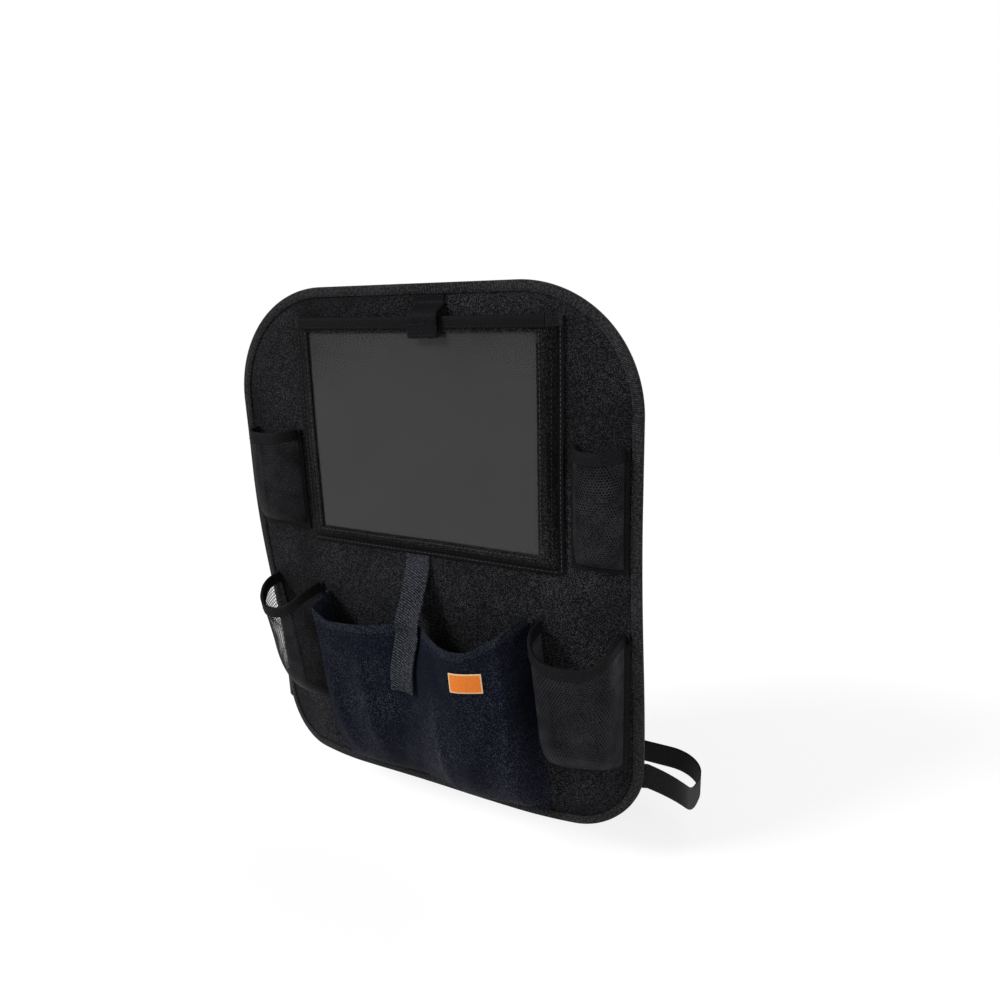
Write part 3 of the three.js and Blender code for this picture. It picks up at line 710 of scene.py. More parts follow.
def rib_group() -> Tree:
    """Slanted ribs of webbing and tape, with fine threads across them and uneven slubs.

    Returns:
        The group, with the ribs' height and the share of the ridges' paler colour: a painted highlight on the
        rib tops over painted shade in the grooves, broken up by real uneven slubs.
    """
    start = {"Pitch": 0.0012, "Slant": 0.6}
    graph, given, result = new_group("slanted_ribs", start, ["Height", "Shade"])
    place, across, up = graph.uv()
    slanted = graph.math("MULTIPLY", across, given.outputs["Slant"])
    phase = graph.math("DIVIDE", graph.math("ADD", up, slanted), given.outputs["Pitch"])
    thread = graph.wave(graph.math("DIVIDE", across, 0.6 * MM))
    height = graph.math("MULTIPLY", graph.wave(phase), graph.scaled(thread, 0.35, 0.65))
    slubs = graph.add("ShaderNodeTexNoise", noise_dimensions="2D")
    slubs.inputs["Scale"].default_value = 460
    graph.link(place, slubs.inputs["Vector"])
    graph.link(height, result.inputs["Height"])
    slubby = graph.scaled(graph.ramp(slubs.outputs[0], 0.4, 0.62), 0.85, 0.15)
    # painted light: the share rises steeply on the rib tops, mixed with real uneven slubs
    graph.link(graph.math("MULTIPLY", graph.math("POWER", height, 2.5), slubby), result.inputs["Shade"])
    return graph.tree


def wear_group() -> Tree:
    """Soft cloudy wear and settled dust, uneven over the surface.

    Returns:
        The group, with a mask of the wear and a fine even grain.
    """
    graph, given, result = new_group("soft_wear", {"Scale": 18.0, "Detail": 5.0}, ["Mask", "Grain"])
    place = graph.add("ShaderNodeTexCoord").outputs["Object"]
    cloud = graph.add("ShaderNodeTexNoise")
    graph.link(place, cloud.inputs["Vector"])
    graph.link(given.outputs["Scale"], cloud.inputs["Scale"])
    graph.link(given.outputs["Detail"], cloud.inputs["Detail"])
    grain = graph.add("ShaderNodeTexNoise")
    grain.inputs["Scale"].default_value = 1400
    grain.inputs["Detail"].default_value = 2
    graph.link(place, grain.inputs["Vector"])
    graph.link(graph.ramp(cloud.outputs[0], 0.38, 0.7), result.inputs["Mask"])
    graph.link(grain.outputs[0], result.inputs["Grain"])
    return graph.tree


@dataclass
class Effects:
    """The shared shader groups, each made once."""

    weave: Tree = field(default_factory=weave_group)
    ribs: Tree = field(default_factory=rib_group)
    wear: Tree = field(default_factory=wear_group)

    @staticmethod
    def use(graph: Graph, tree: Tree, **values: float) -> Node:
        """Places a group in a material with its own values.

        Args:
            graph: the material's graph.
            tree: the group.
            values: what each of its inputs is set to.

        Returns:
            The group's node.
        """
        node = graph.add("ShaderNodeGroup", node_tree=tree)
        for key, value in values.items():
            node.inputs[key].default_value = value
        return node


def plain_shader(name: str, roughness: float, sheen: float) -> tuple[Material, Graph, Node]:
    """Starts a material with its Principled shader.

    Args:
        name: the material's name.
        roughness: starting roughness.
        sheen: cloth sheen weight.

    Returns:
        The material, its graph and its shader node.
    """
    material = bpy.data.materials.new(name)
    material.use_nodes = True
    graph = Graph(material.node_tree)
    shader = material.node_tree.nodes["Principled BSDF"]
    shader.inputs["Roughness"].default_value = roughness
    shader.inputs["Sheen Weight"].default_value = sheen
    shader.inputs["Sheen Roughness"].default_value = 0.55
    shader.inputs["Specular IOR Level"].default_value = 0.07
    return material, graph, shader


def bump(graph: Graph, height: Socket, depth_mm: float, shader: Node) -> None:
    """Feeds a height into the shader's normal.

    Args:
        graph: the material's graph.
        height: the output that stands for height.
        depth_mm: how deep a height of 1 is.
        shader: the node whose normal it shapes.
    """
    node = graph.add("ShaderNodeBump")
    node.inputs["Strength"].default_value = 1.0
    node.inputs["Distance"].default_value = depth_mm * MM
    graph.link(height, node.inputs["Height"])
    graph.link(node.outputs[0], shader.inputs["Normal"])


@dataclass(frozen=True)
class WovenFinish:
    """Plain woven cloth with paler, slightly shiny flecks, and shade painted into the valleys between its
    threads.
    """

    name: str
    thread: Colour
    fleck: Colour
    pitch_mm: float = 0.7
    flecks: float = 0.28
    roughness: float = 0.85
    sheen: float = 0.012
    depth_mm: float = 0.16
    glint: float = 0.3
    worn: Colour = (0.011, 0.011, 0.012)
    even: float = 0.35

    def material(self, effects: Effects) -> Material:
        """Builds the material.

        Args:
            effects: the shared shader groups.

        Returns:
            The material.
        """
        material, graph, shader = plain_shader(self.name, self.roughness, self.sheen)
        weave = effects.use(graph, effects.weave, Pitch=self.pitch_mm * MM, Flecks=self.flecks)
        wear = effects.use(graph, effects.wear, Scale=11.0, Detail=6.0)
        # painted shade: the thread and its flecks are painted darker in the weave's valleys, where shade
        # falls between threads
        deep = tuple(0.45 * value for value in self.thread)
        ground = graph.blend(weave.outputs["Height"], deep, self.thread)
        worn = graph.blend(graph.math("MULTIPLY", wear.outputs["Mask"], 0.35), ground, self.worn)
        uneven = graph.scaled(wear.outputs["Mask"], 1 - self.even, self.even)
        fleck = graph.math("MULTIPLY", weave.outputs["Fleck"], uneven)
        graph.link(graph.blend(fleck, worn, self.fleck), shader.inputs["Base Color"])
        graph.link(graph.math("MULTIPLY", fleck, self.glint), shader.inputs["Coat Weight"])
        shader.inputs["Coat Roughness"].default_value = 0.4
        rough = graph.math("MULTIPLY", wear.outputs["Mask"], 0.1)
        graph.link(graph.math("SUBTRACT", self.roughness, rough), shader.inputs["Roughness"])
        bump(graph, weave.outputs["Height"], self.depth_mm, shader)
        return material


@dataclass(frozen=True)
class RibbedFinish:
    """Webbing or tape with slanted ribs, with a painted highlight on their tops and painted shade in their
    grooves.
    """

    name: str
    # the thread colour shows in the grooves as painted shade, the ridge colour on the rib tops as a painted
    # highlight
    thread: Colour
    lit_ridge: Colour
    pitch_mm: float = 1.2
    slant: float = 0.6
    roughness: float = 0.7
    sheen: float = 0.006
    depth_mm: float = 0.2

    def material(self, effects: Effects) -> Material:
        """Builds the material.

        Args:
            effects: the shared shader groups.

        Returns:
            The material.
        """
        material, graph, shader = plain_shader(self.name, self.roughness, self.sheen)
        ribs = effects.use(graph, effects.ribs, Pitch=self.pitch_mm * MM, Slant=self.slant)
        wear = effects.use(graph, effects.wear, Scale=30.0, Detail=4.0)
        # painted light: the thread colour fills the grooves as painted shade, the ridge colour tops the ribs
        # as a painted highlight
        ground = graph.blend(ribs.outputs["Shade"], self.thread, self.lit_ridge)
        lighter = tuple(min(1.0, 1.6 * value) for value in self.lit_ridge)
        share = graph.math("MULTIPLY", wear.outputs["Mask"], 0.08)
        graph.link(graph.blend(share, ground, lighter), shader.inputs["Base Color"])
        rough = graph.math("MULTIPLY", ribs.outputs["Height"], 0.15)
        graph.link(graph.math("SUBTRACT", self.roughness, rough), shader.inputs["Roughness"])
        bump(graph, ribs.outputs["Height"], self.depth_mm, shader)
        return material


@dataclass(frozen=True)
class MouldedFinish:
    """Moulded plastic, thread or any other surface with a fine grain."""

    name: str
    base: Colour
    rubbed: Colour
    roughness: float = 0.5
    sheen: float = 0.0
    depth_mm: float = 0.03

    def material(self, effects: Effects) -> Material:
        """Builds the material.

        Args:
            effects: the shared shader groups.

        Returns:
            The material.
        """
        material, graph, shader = plain_shader(self.name, self.roughness, self.sheen)
        wear = effects.use(graph, effects.wear, Scale=60.0, Detail=5.0)
        share = graph.math("MULTIPLY", wear.outputs["Mask"], 0.5)
        graph.link(graph.blend(share, self.base, self.rubbed), shader.inputs["Base Color"])
        rough = graph.math("MULTIPLY", wear.outputs["Grain"], 0.2)
        graph.link(graph.math("ADD", self.roughness - 0.1, rough), shader.inputs["Roughness"])
        bump(graph, wear.outputs["Grain"], self.depth_mm, shader)
        return material


@dataclass(frozen=True)
class FilmFinish:
    """Clear soft film, slightly hazy, with faint smears; its grey colour is partly its own cloudiness and
    partly painted reflection of the bright surroundings.
    """

    name: str
    haze_and_sheen: Colour = (0.036, 0.036, 0.038)
    cover: float = 0.55
    roughness: float = 0.12

    def material(self, effects: Effects) -> Material:
        """Builds the material.

        Args:
            effects: the shared shader groups.

        Returns:
            The material.
        """
        material, graph, shader = plain_shader(self.name, self.roughness, 0.0)
        # partly painted reflection: the grey colour behind the partial alpha stands for the film's cloudiness
        # and for light reflected off it
        shader.inputs["Base Color"].default_value = (*self.haze_and_sheen, 1)
        shader.inputs["Specular IOR Level"].default_value = 0.5
        wear = effects.use(graph, effects.wear, Scale=22.0, Detail=3.0)
        smear = graph.scaled(wear.outputs["Mask"], 0.14, self.roughness)
        graph.link(smear, shader.inputs["Roughness"])
        graph.link(graph.scaled(wear.outputs["Mask"], 0.08, self.cover), shader.inputs["Alpha"])
        return material


@dataclass
class Wardrobe:
    """Every finish of the organizer, built once."""

    effects: Effects = field(default_factory=Effects)
    made: dict[str, Material] = field(default_factory=dict)

    FINISHES = {
        "panel": WovenFinish("panel_cloth", (0.004, 0.004, 0.0048), (0.082, 0.086, 0.096)),
        "pocket": WovenFinish(
            "pocket_cloth", (0.0015, 0.003, 0.0115), (0.092, 0.095, 0.112),
            flecks=0.22, worn=(0.003, 0.005, 0.014), even=0.12,
        ),
        # the folded hem: a lighter copy of the pocket cloth, a painted highlight along the pocket's top band
        "hem": WovenFinish("lit_hem_cloth", (0.003, 0.005, 0.014), (0.09, 0.096, 0.125), flecks=0.34),
        "frame": WovenFinish("frame_cloth", (0.004, 0.004, 0.0045), (0.07, 0.07, 0.073), flecks=0.2),
        "binding": RibbedFinish(
            "binding_ribs", (0.002, 0.002, 0.0025), (0.075, 0.075, 0.08), 1.5, 0.15, depth_mm=0.3,
        ),
        "tape": RibbedFinish(
            "tape_ribs", (0.002, 0.002, 0.0025), (0.007, 0.007, 0.008), 0.9, 0.0, depth_mm=0.1,
        ),
        "tape_end": RibbedFinish(
            "tape_end_ribs", (0.006, 0.006, 0.007), (0.036, 0.036, 0.04), 1.2, 0.0, depth_mm=0.12,
        ),
        "elastic": RibbedFinish(
            "elastic_ribs", (0.003, 0.003, 0.0035), (0.014, 0.014, 0.016), 1.1, 0.0, depth_mm=0.1,
        ),
        "webbing": RibbedFinish(
            "webbing_ribs", (0.001, 0.0015, 0.0025), (0.11, 0.12, 0.145), 2.4, 0.45, depth_mm=0.5,
        ),
        "dark_webbing": RibbedFinish(
            "dark_webbing", (0.001, 0.001, 0.0015), (0.012, 0.012, 0.015), 2.1, 0.45,
        ),
        "strap": RibbedFinish(
            "strap_ribs", (0.004, 0.004, 0.0045), (0.02, 0.02, 0.022), 1.2, 0.0, depth_mm=0.12,
        ),
        "mesh": MouldedFinish("mesh_thread", (0.014, 0.014, 0.016), (0.055, 0.055, 0.06), 0.5, 0.02),
        "thread": MouldedFinish("sewing_thread", (0.05, 0.05, 0.054), (0.12, 0.12, 0.125), 0.6, 0.05),
        "dark_thread": MouldedFinish("dark_thread", (0.009, 0.009, 0.011), (0.02, 0.02, 0.022), 0.6, 0.05),
        "hooks": MouldedFinish("hook_tape", (0.006, 0.006, 0.007), (0.016, 0.016, 0.018), 0.9, 0.1, 0.25),
        "label": RibbedFinish(
            "label_weave", (0.70, 0.175, 0.024), (0.84, 0.26, 0.05), 0.7, 0.0, depth_mm=0.06,
        ),
        "label_edge": RibbedFinish(
            "label_border", (0.66, 0.44, 0.24), (0.84, 0.63, 0.42), 0.7, 0.0, depth_mm=0.06,
        ),
        "film": FilmFinish("window_film"),
        "plastic": MouldedFinish("buckle_plastic", (0.014, 0.014, 0.015), (0.03, 0.03, 0.032), 0.42),
    }

    def get(self, key: str) -> Material:
        """The material of a finish, built the first time it is asked for.

        Args:
            key: the finish's name in FINISHES.

        Returns:
            The material.
        """
        if key not in self.made:
            self.made[key] = self.FINISHES[key].material(self.effects)
        return self.made[key]


WARDROBE = Wardrobe()


def settle(made: Piece, slot: Slot, nodes: Sequence[str] = ()) -> None:
    """Puts a finished piece on the organizer's body in the place of its solids.

    Args:
        made: the piece.
        slot: the material slot that it stands for; not used.
        nodes: the CAD nodes that it replaces.
    """
    if nodes:
        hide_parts(*nodes)
    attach(made, Body.ORGANIZER.value)
    LOG.info("%s: %d faces", made.name, len(made.data.polygons))


def sampled(place: float, run: Grid, rows: Grid) -> Grid:
    """A row between rows, at a place along a run."""
    return np.array([np.interp(place, run, column) for column in rows.T])


@dataclass
class Stitching:
    """Rows of sewing thread, gathered into one piece."""

    name: str
    length: float = 3.0
    space: float = 1.3
    radius: float = 0.27
    points: list[Grid] = field(default_factory=list)
    faces: list[Grid] = field(default_factory=list)

    SIDES = 6
    REACH = 3.0  # between points of a straight run
    PROBE = 0.5  # distance at which a surface's slope is measured
    # place along a stitch, size of its ring and how far it stands off the cloth, in radii
    RINGS = ((0, 0.25, -0.5), (0.18, 0.9, 0.2), (0.5, 1, 0.45), (0.82, 0.9, 0.2), (1, 0.25, -0.5))

    def row(self, path: Grid, normals: Grid) -> None:
        """Sews along a path.

        Args:
            path: points of the seam on the cloth's surface.
            normals: direction away from the cloth at each point.
        """
        run = running_length(path)
        pitch = self.length + self.space
        for start in np.arange(self.space / 2, run[-1] - self.length, pitch):
            a, b = (sampled(place, run, path) for place in (start, start + self.length))
            self.stitch(a, b, unit(sampled(start + self.length / 2, run, normals)))

    def stitch(self, a: Grid, b: Grid, normal: Grid) -> None:
        """Adds one stitch.

        Args:
            a: where it comes out of the cloth.
            b: where it goes back in.
            normal: direction away from the cloth.
        """
        beside = unit(np.cross(b - a, normal))
        turns = np.linspace(0, 2 * math.pi, self.SIDES, endpoint=False)
        ring = beside * np.cos(turns)[:, None] + normal * np.sin(turns)[:, None]
        rows = []
        for share, size, lift in self.RINGS:
            rows.append(mix(a, b, share) + normal * lift * self.radius + ring * self.radius * size)
        n, made = self.SIDES, len(self.points)
        i, k = np.meshgrid(np.arange(len(rows) - 1), np.arange(n), indexing="ij")
        after = (k + 1) % n
        quads = np.stack([i * n + k, (i + 1) * n + k, (i + 1) * n + after, i * n + after], -1)
        self.points.append(np.concatenate(rows))
        self.faces.append(quads.reshape(-1, 4) + made * n * len(rows))

    def line(self, surface: Callable[[Grid, Grid], Grid], corners: Sequence[tuple[float, float]]) -> None:
        """Sews straight runs between corners.

        Args:
            surface: gives a point for each x and z.
            corners: x and z of each corner.
        """
        for (x0, z0), (x1, z1) in zip(corners[:-1], corners[1:]):
            steps = self.steps(x1 - x0, z1 - z0)
            self.follow(surface, np.linspace(x0, x1, steps), np.linspace(z0, z1, steps))

    def steps(self, across: float, up: float) -> int:
        """How many points a straight run takes."""
        return max(2, int(math.hypot(across, up) / self.REACH))

    def follow(self, surface: Callable[[Grid, Grid], Grid], x: Grid, z: Grid) -> None:
        """Sews along a path on a surface.

        Args:
            surface: gives a point for each x and z.
            x: the path's x.
            z: the path's z.
        """
        here = surface(x, z)
        across, up = surface(x + self.PROBE, z) - here, surface(x, z + self.PROBE) - here
        self.row(here, unit(np.cross(across, up)))

    def build(self, finish: str, slot: Slot) -> None:
        """Makes the piece from all the rows.

        Args:
            finish: the thread's finish.
            slot: the material slot that it stands for.
        """
        points = np.concatenate(self.points)
        made = make_object(self.name, points, np.concatenate(self.faces), points[:, [0, 2]] * MM, finish)
        settle(made, slot)


# Pieces


@dataclass
class BackPanel:
    """The panel's cloth, seen on its front and back."""

    inset: float = 2.2
    columns: int = 110
    rows: int = 150
    evenness: float = 0.35  # 0 crowds the rows at the rounded ends, 1 spaces them evenly

    def build(self) -> None:
        """Builds the panel as one hanging sheet."""
        turns = np.linspace(-math.pi / 2, math.pi / 2, self.rows)
        z = (PANEL.half_height - self.inset) * mix(np.sin(turns), turns / (math.pi / 2), self.evenness)
        share = np.linspace(-1, 1, self.columns)
        x = share[:, None] * PANEL.half_width(z, self.inset)[None, :]
        z = np.broadcast_to(z, x.shape)
        middle = PANEL.on_face(x, z, -PANEL.thickness / 2)
        made = slab("back_panel_cloth", middle, PANEL.thickness, "panel")
        settle(made, Slot.PANEL, ["back_panel"])


@dataclass
class EdgeBinding:
    """The tape folded over the panel's edge, and its row of stitches."""

    fold: float = 1.4
    inner_fold: float = 0.2
    pucker: float = 0.22
    step: float = 2.2
    skin: float = 1.8  # farther than this from the panel's middle lies the tape's outside
    stitches_in: float = 1.8

    def outline(self) -> tuple[Grid, Grid, Grid]:
        """The panel's edge, all the way round.

        Returns:
            x, z and the angle of the outward direction at each point.
        """
        parts = []
        for sx, sz, turn in ((1, 1, 0.0), (-1, 1, 0.5), (-1, -1, 1.0), (1, -1, 1.5)):
            radius = PANEL.top_corner if sz > 0 else PANEL.bottom_corner
            turns = math.pi * (turn + np.linspace(0, 0.5, int(radius * math.pi / 2 / self.step)))
            x = sx * (PANEL.half_width_max - radius) + radius * np.cos(turns)
            z = sz * (PANEL.half_height - radius) + radius * np.sin(turns)
            parts.append(np.stack([x, z, turns], 1))
        joined = []
        for part, after in zip(parts, [*parts[1:], parts[0]]):
            joined.append(part)
            a, b = part[-1], after[0]
            count = int(math.hypot(b[0] - a[0], b[1] - a[1]) / self.step)
            shares = np.linspace(0, 1, count + 1)[1:-1, None]
            joined.append(np.concatenate([mix(a[:2], b[:2], shares), np.full_like(shares, a[2])], 1))
        x, z, turns = np.concatenate(joined).T
        return x, z, turns

    def section(self) -> Grid:
        """The folded tape, all round its own thickness.

        Returns:
            Distance outward from the edge and depth of each point.
        """
        front, back, cover = -PANEL.thickness - LOOSE_GAP, LOOSE_GAP, PANEL.cover
        middle, half = (front + back) / 2, (back - front) / 2
        turns = np.linspace(-math.pi / 2, math.pi / 2, 9)
        outer_x, outer_y = self.fold * np.cos(turns), (half + TAPE) * np.sin(turns)
        inner_x, inner_y = self.inner_fold * np.cos(turns), half * np.sin(turns)
        outer = np.stack([outer_x - self.fold, middle + outer_y], 1)
        inner = np.stack([inner_x - self.fold, middle + inner_y], 1)[::-1]
        leg = [(-cover, 0.6), (-cover + 0.6, 1), (-cover / 2, 1)]
        near = [(x, front - TAPE * share) for x, share in leg]
        far = [(x, back + TAPE * share) for x, share in leg[::-1]]
        return np.concatenate([near, outer, far, [(-cover, back)], inner, [(-cover, front)]])

    def build(self) -> None:
        """Builds the tape and sews it."""
        x, z, turns = self.outline()
        section = self.section()
        run = running_length(np.stack([x, z], 1))
        ripple = self.pucker * (np.sin(run / 4.1) * 0.5 + np.sin(run / 9.7 + 2) * 0.5)
        points_x = x[:, None] + np.cos(turns)[:, None] * section[None, :, 0]
        points_z = z[:, None] + np.sin(turns)[:, None] * section[None, :, 0]
        off_middle = section[:, 1] + PANEL.thickness / 2
        outside = np.sign(off_middle) * (np.abs(off_middle) > self.skin) * (section[:, 0] < -2)
        depth = section[None, :, 1] + ripple[:, None] * 0.5 * outside[None, :]
        grid = np.stack([points_x, depth + PANEL.sway(points_x, points_z), points_z], -1)
        uv = np.stack(np.broadcast_arrays(running_length(section)[None, :], run[:, None]), -1)
        made = ringed("edge_binding_tape", grid, uv, True, "binding")
        settle(made, Slot.TAPE, ["edge_binding"])
        self.sew(x, z, turns)

    def sew(self, x: Grid, z: Grid, turns: Grid) -> None:
        """Sews one row near the tape's inner edge, on the front and on the back.

        Args:
            x: the edge's x.
            z: the edge's z.
            turns: the angle of its outward direction.
        """
        thread = Stitching("edge_stitching")
        inwards = PANEL.cover - self.stitches_in
        at_x, at_z = x - np.cos(turns) * inwards, z - np.sin(turns) * inwards
        at_x, at_z = np.append(at_x, at_x[0]), np.append(at_z, at_z[0])
        lift = LOOSE_GAP + TAPE + 2 * STITCH_LIFT
        ahead, behind = np.zeros((len(at_x), 3)), np.zeros((len(at_x), 3))
        ahead[:, 1], behind[:, 1] = -1, 1
        thread.row(PANEL.on_face(at_x, at_z, lift), ahead)
        thread.row(PANEL.on_back(at_x, at_z, lift), behind)
        thread.build("dark_thread", Slot.TAPE)


@dataclass
class TabletPouch:
    """Cloth frame, clear window and tapes of the tablet pouch."""

    centre: float = 6
    below_top: float = 28.5
    width: float = 275
    height: float = 217
    depth: float = 9
    side: float = 20
    sill: float = 18
    lintel: float = 12
    ramp: float = 7
    flange: float = 5
    film: float = 0.5
    overlap: float = 6
    looseness: float = 0.9
    tape_height: float = 9
    tape_end: tuple[float, float, float] = (11.5, 8.5, 0.9)  # width, height, thickness
    rows: tuple[float, float] = (2.5, 11)  # from the window's edge to each row of stitches
    flat: tuple[float, float] = (0.275, 0.217)
    # the cloth alone is 0.0157 m2, and a sheet's area is at least 0.3 of its flat size
    area: float = 0.3 * 0.275 * 0.2171

    @property
    def left(self) -> float:
        """Left end of the pouch."""
        return self.centre - self.width / 2

    @property
    def right(self) -> float:
        """Right end of the pouch."""
        return self.centre + self.width / 2

    @property
    def top(self) -> float:
        """Height of the pouch's mouth."""
        return PANEL.half_height - self.below_top

    @property
    def bottom(self) -> float:
        """Height of the pouch's lower end."""
        return self.top - self.height

    def stand_off(self, x: Grid, z: Grid) -> Grid:
        """How far the pouch's front stands off the panel."""
        inside = np.minimum(np.minimum(x - self.left, self.right - x), z - self.bottom) - self.flange
        return self.depth * np.clip(inside / self.ramp, 0, 1)

    def surface(self, x: Grid, z: Grid, above: float = 0.0) -> Grid:
        """Points above the back of the pouch's front cloth."""
        return PANEL.on_face(x, z, GAP + self.stand_off(x, z) + above)

    def build(self) -> None:
        """Builds every piece of the pouch."""
        self.build_frame()
        self.build_window()
        self.build_mouth()
        self.build_tapes()
        self.build_tape_ends()
        self.sew()

    def build_frame(self) -> None:
        """Builds the cloth frame round the window."""
        inner = self.flange + self.ramp
        xs = spaced(
            self.left, self.left + self.flange, self.left + inner, self.left + self.side,
            self.right - self.side, self.right - inner, self.right - self.flange, self.right, step=3,
        )
        zs = spaced(
            self.bottom, self.bottom + self.flange, self.bottom + inner, self.bottom + self.sill,
            self.top - self.lintel, self.top, step=3,
        )
        x, z = np.meshgrid(xs, zs, indexing="ij")
        middle = self.surface(x, z, CLOTH / 2)
        mid_x, mid_z = (xs[:-1] + xs[1:]) / 2, (zs[:-1] + zs[1:]) / 2
        open_x = (mid_x > self.left + self.side) & (mid_x < self.right - self.side)
        open_z = (mid_z > self.bottom + self.sill) & (mid_z < self.top - self.lintel)
        filled = ~(open_x[:, None] & open_z[None, :])
        made = slab("tablet_frame_cloth", middle, CLOTH, "frame", filled)
        settle(made, Slot.PANEL, ["tablet_frame"])

    def build_window(self) -> None:
        """Builds the clear film, slightly loose in its middle."""
        left, right = self.left + self.side - self.overlap, self.right - self.side + self.overlap
        low, high = self.bottom + self.sill - self.overlap, self.top - self.tape_height - 2 * GAP
        x, z = np.meshgrid(np.linspace(left, right, 60), np.linspace(low, high, 48), indexing="ij")
        s, t = (x - left) / (right - left), (z - low) / (high - low)
        loose = np.sin(math.pi * s) * np.sin(math.pi * t)
        wave = 0.5 + 0.5 * np.sin(x / 26 + 0.6 * np.sin(z / 33)) * np.cos(z / 41 + 0.5)
        middle = PANEL.on_face(x, z, self.depth - self.film / 2 - self.looseness * loose * wave)
        made = slab("clear_window_film", middle, self.film, "film")
        settle(made, Slot.FILM, ["clear_window"])

    def build_mouth(self) -> None:
        """Builds the folded tape over the pouch's mouth."""
        inner = self.flange + self.ramp
        x = np.linspace(self.left + inner, self.right - inner, 110)
        at = self.surface(x, np.full_like(x, self.top), CLOTH / 2)
        out, along = np.zeros_like(at), np.zeros_like(at)
        out[:, 1], along[:, 2] = -1, 1
        half = CLOTH / 2 + GAP
        section = tape_section(half, half + TAPE, self.tape_height, GAP, GAP + TAPE)
        made = swept("pouch_mouth_fold", at, out, along, section, "tape")
        settle(made, Slot.TAPE, ["pouch_mouth_tape"])

    def build_tapes(self) -> None:
        """Builds the tapes over the pouch's seams, each folded over at its end."""
        seam = self.flange
        runs = {
            "left": (self.left, self.left + seam, self.bottom + seam + GAP, self.top),
            "right": (self.right - seam, self.right, self.bottom + seam + GAP, self.top),
            "bottom": (self.left, self.right, self.bottom, self.bottom + seam),
        }
        for name, (x0, x1, z0, z1) in runs.items():
            upright = z1 - z0 > x1 - x0
            xs = np.linspace(x0, x1, 4 if upright else 120)
            zs = np.linspace(z0, z1, 100 if upright else 4)
            x, z = np.meshgrid(xs, zs, indexing="ij")
            middle = PANEL.on_face(x, z, 2 * GAP + CLOTH + SEAM_TAPE / 2)
            made = slab(f"pouch_seam_tape_{name}", middle, SEAM_TAPE, "tape")
            settle(made, Slot.TAPE, [f"pouch_tape_{name}"])

    def build_tape_ends(self) -> None:
        """Builds the turned-over ends of the seam tapes at the mouth's corners."""
        wide, tall, thick = self.tape_end
        for name, x0 in (("left", self.left), ("right", self.right - wide)):
            xs = np.linspace(x0 + 0.2, x0 + wide - 0.2, 16)
            zs = np.linspace(self.top - tall, self.top + 0.4, 8)
            x, z = np.meshgrid(xs, zs, indexing="ij")
            lift = CLOTH + GAP + SEAM_TAPE + GAP + thick / 2
            made = slab(f"pouch_tape_end_{name}", self.surface(x, z, lift), thick, "tape_end")
            settle(made, Slot.TAPE)

    def sew(self) -> None:
        """Sews the frame's seams and both rows round the window."""
        thread = Stitching("pouch_stitching")
        for row in self.rows:
            out = self.side - row
            left, right = self.left + out, self.right - out
            low = self.bottom + out - self.side + self.sill
            high = self.top - self.tape_height - 1.5
            corners = [(left, high), (left, low), (right, low), (right, high)]
            thread.line(partial(self.surface, above=CLOTH + STITCH_LIFT), corners)
        middle = self.flange / 2
        corners = [
            (self.left + middle, self.top - 2), (self.left + middle, self.bottom + middle),
            (self.right - middle, self.bottom + middle), (self.right - middle, self.top - 2),
        ]
        lift = 2 * GAP + CLOTH + SEAM_TAPE + STITCH_LIFT
        thread.line(partial(PANEL.on_face, above=lift), corners)
        thread.build("thread", Slot.PANEL)
        inner = self.flange + self.ramp
        thread = Stitching("pouch_mouth_stitching")
        lift = GAP + self.depth + CLOTH + GAP + TAPE * (SWELL + 0.02)
        level = self.top - self.tape_height + 1.6
        ends = [(self.left + inner + 1, level), (self.right - inner - 1, level)]
        thread.line(partial(PANEL.on_face, above=lift), ends)
        thread.build("dark_thread", Slot.TAPE)


@dataclass
class HangingTab:
    """A strip of webbing that hangs over a pocket's mouth."""

    node: str
    x: float
    width: float
    route: list[tuple[float, float]]
    follow: Callable[[Grid, Grid], Grid]
    box_stitch: float
    finish: str
    hem: float = 9
    from_side: float = 2  # each of these from an edge to the stitches
    from_top: float = 1.6
    from_end: float = 2.5

    def build(self) -> None:
        """Builds the strip, its box of stitches and two rows across its lower end."""
        curve = smooth_curve(self.route, 12)[::-1]
        x = self.x + self.width * np.linspace(-0.5, 0.5, 13)
        z = np.broadcast_to(curve[:, 1], (len(x), len(curve)))
        at_x = np.broadcast_to(x[:, None], z.shape)
        y = np.broadcast_to(curve[:, 0], z.shape) + self.follow(at_x, z)
        middle = np.stack([at_x, y, z], -1)
        made = slab(f"{self.node}_webbing", middle, WEBBING, self.finish)
        settle(made, Slot.WEBBING, [self.node])
        self.sew(curve[np.argsort(curve[:, 1])])

    def sew(self, curve: Grid) -> None:
        """Sews a box at the top end and two rows at the folded lower end.

        Args:
            curve: depth and height along the strip, in rising order of height.
        """

        def surface(x: Grid, z: Grid) -> Grid:
            """Points just above the strip's front."""
            depth = np.interp(z, curve[:, 1], curve[:, 0])
            return np.stack([x, depth + self.follow(x, z) - WEBBING / 2 - STITCH_LIFT, z], -1)

        thread = Stitching(f"{self.node}_stitching")
        half = self.width / 2 - self.from_side
        left, right = self.x - half, self.x + half
        top = self.route[0][1] - self.from_top
        low = top - self.box_stitch
        thread.line(surface, [(left, top), (right, top), (right, low), (left, low), (left, top)])
        end = self.route[-1][1] + self.from_end
        for level in (end, end + self.hem):
            thread.line(surface, [(left, level), (right, level)])
        thread.build("dark_thread", Slot.WEBBING)


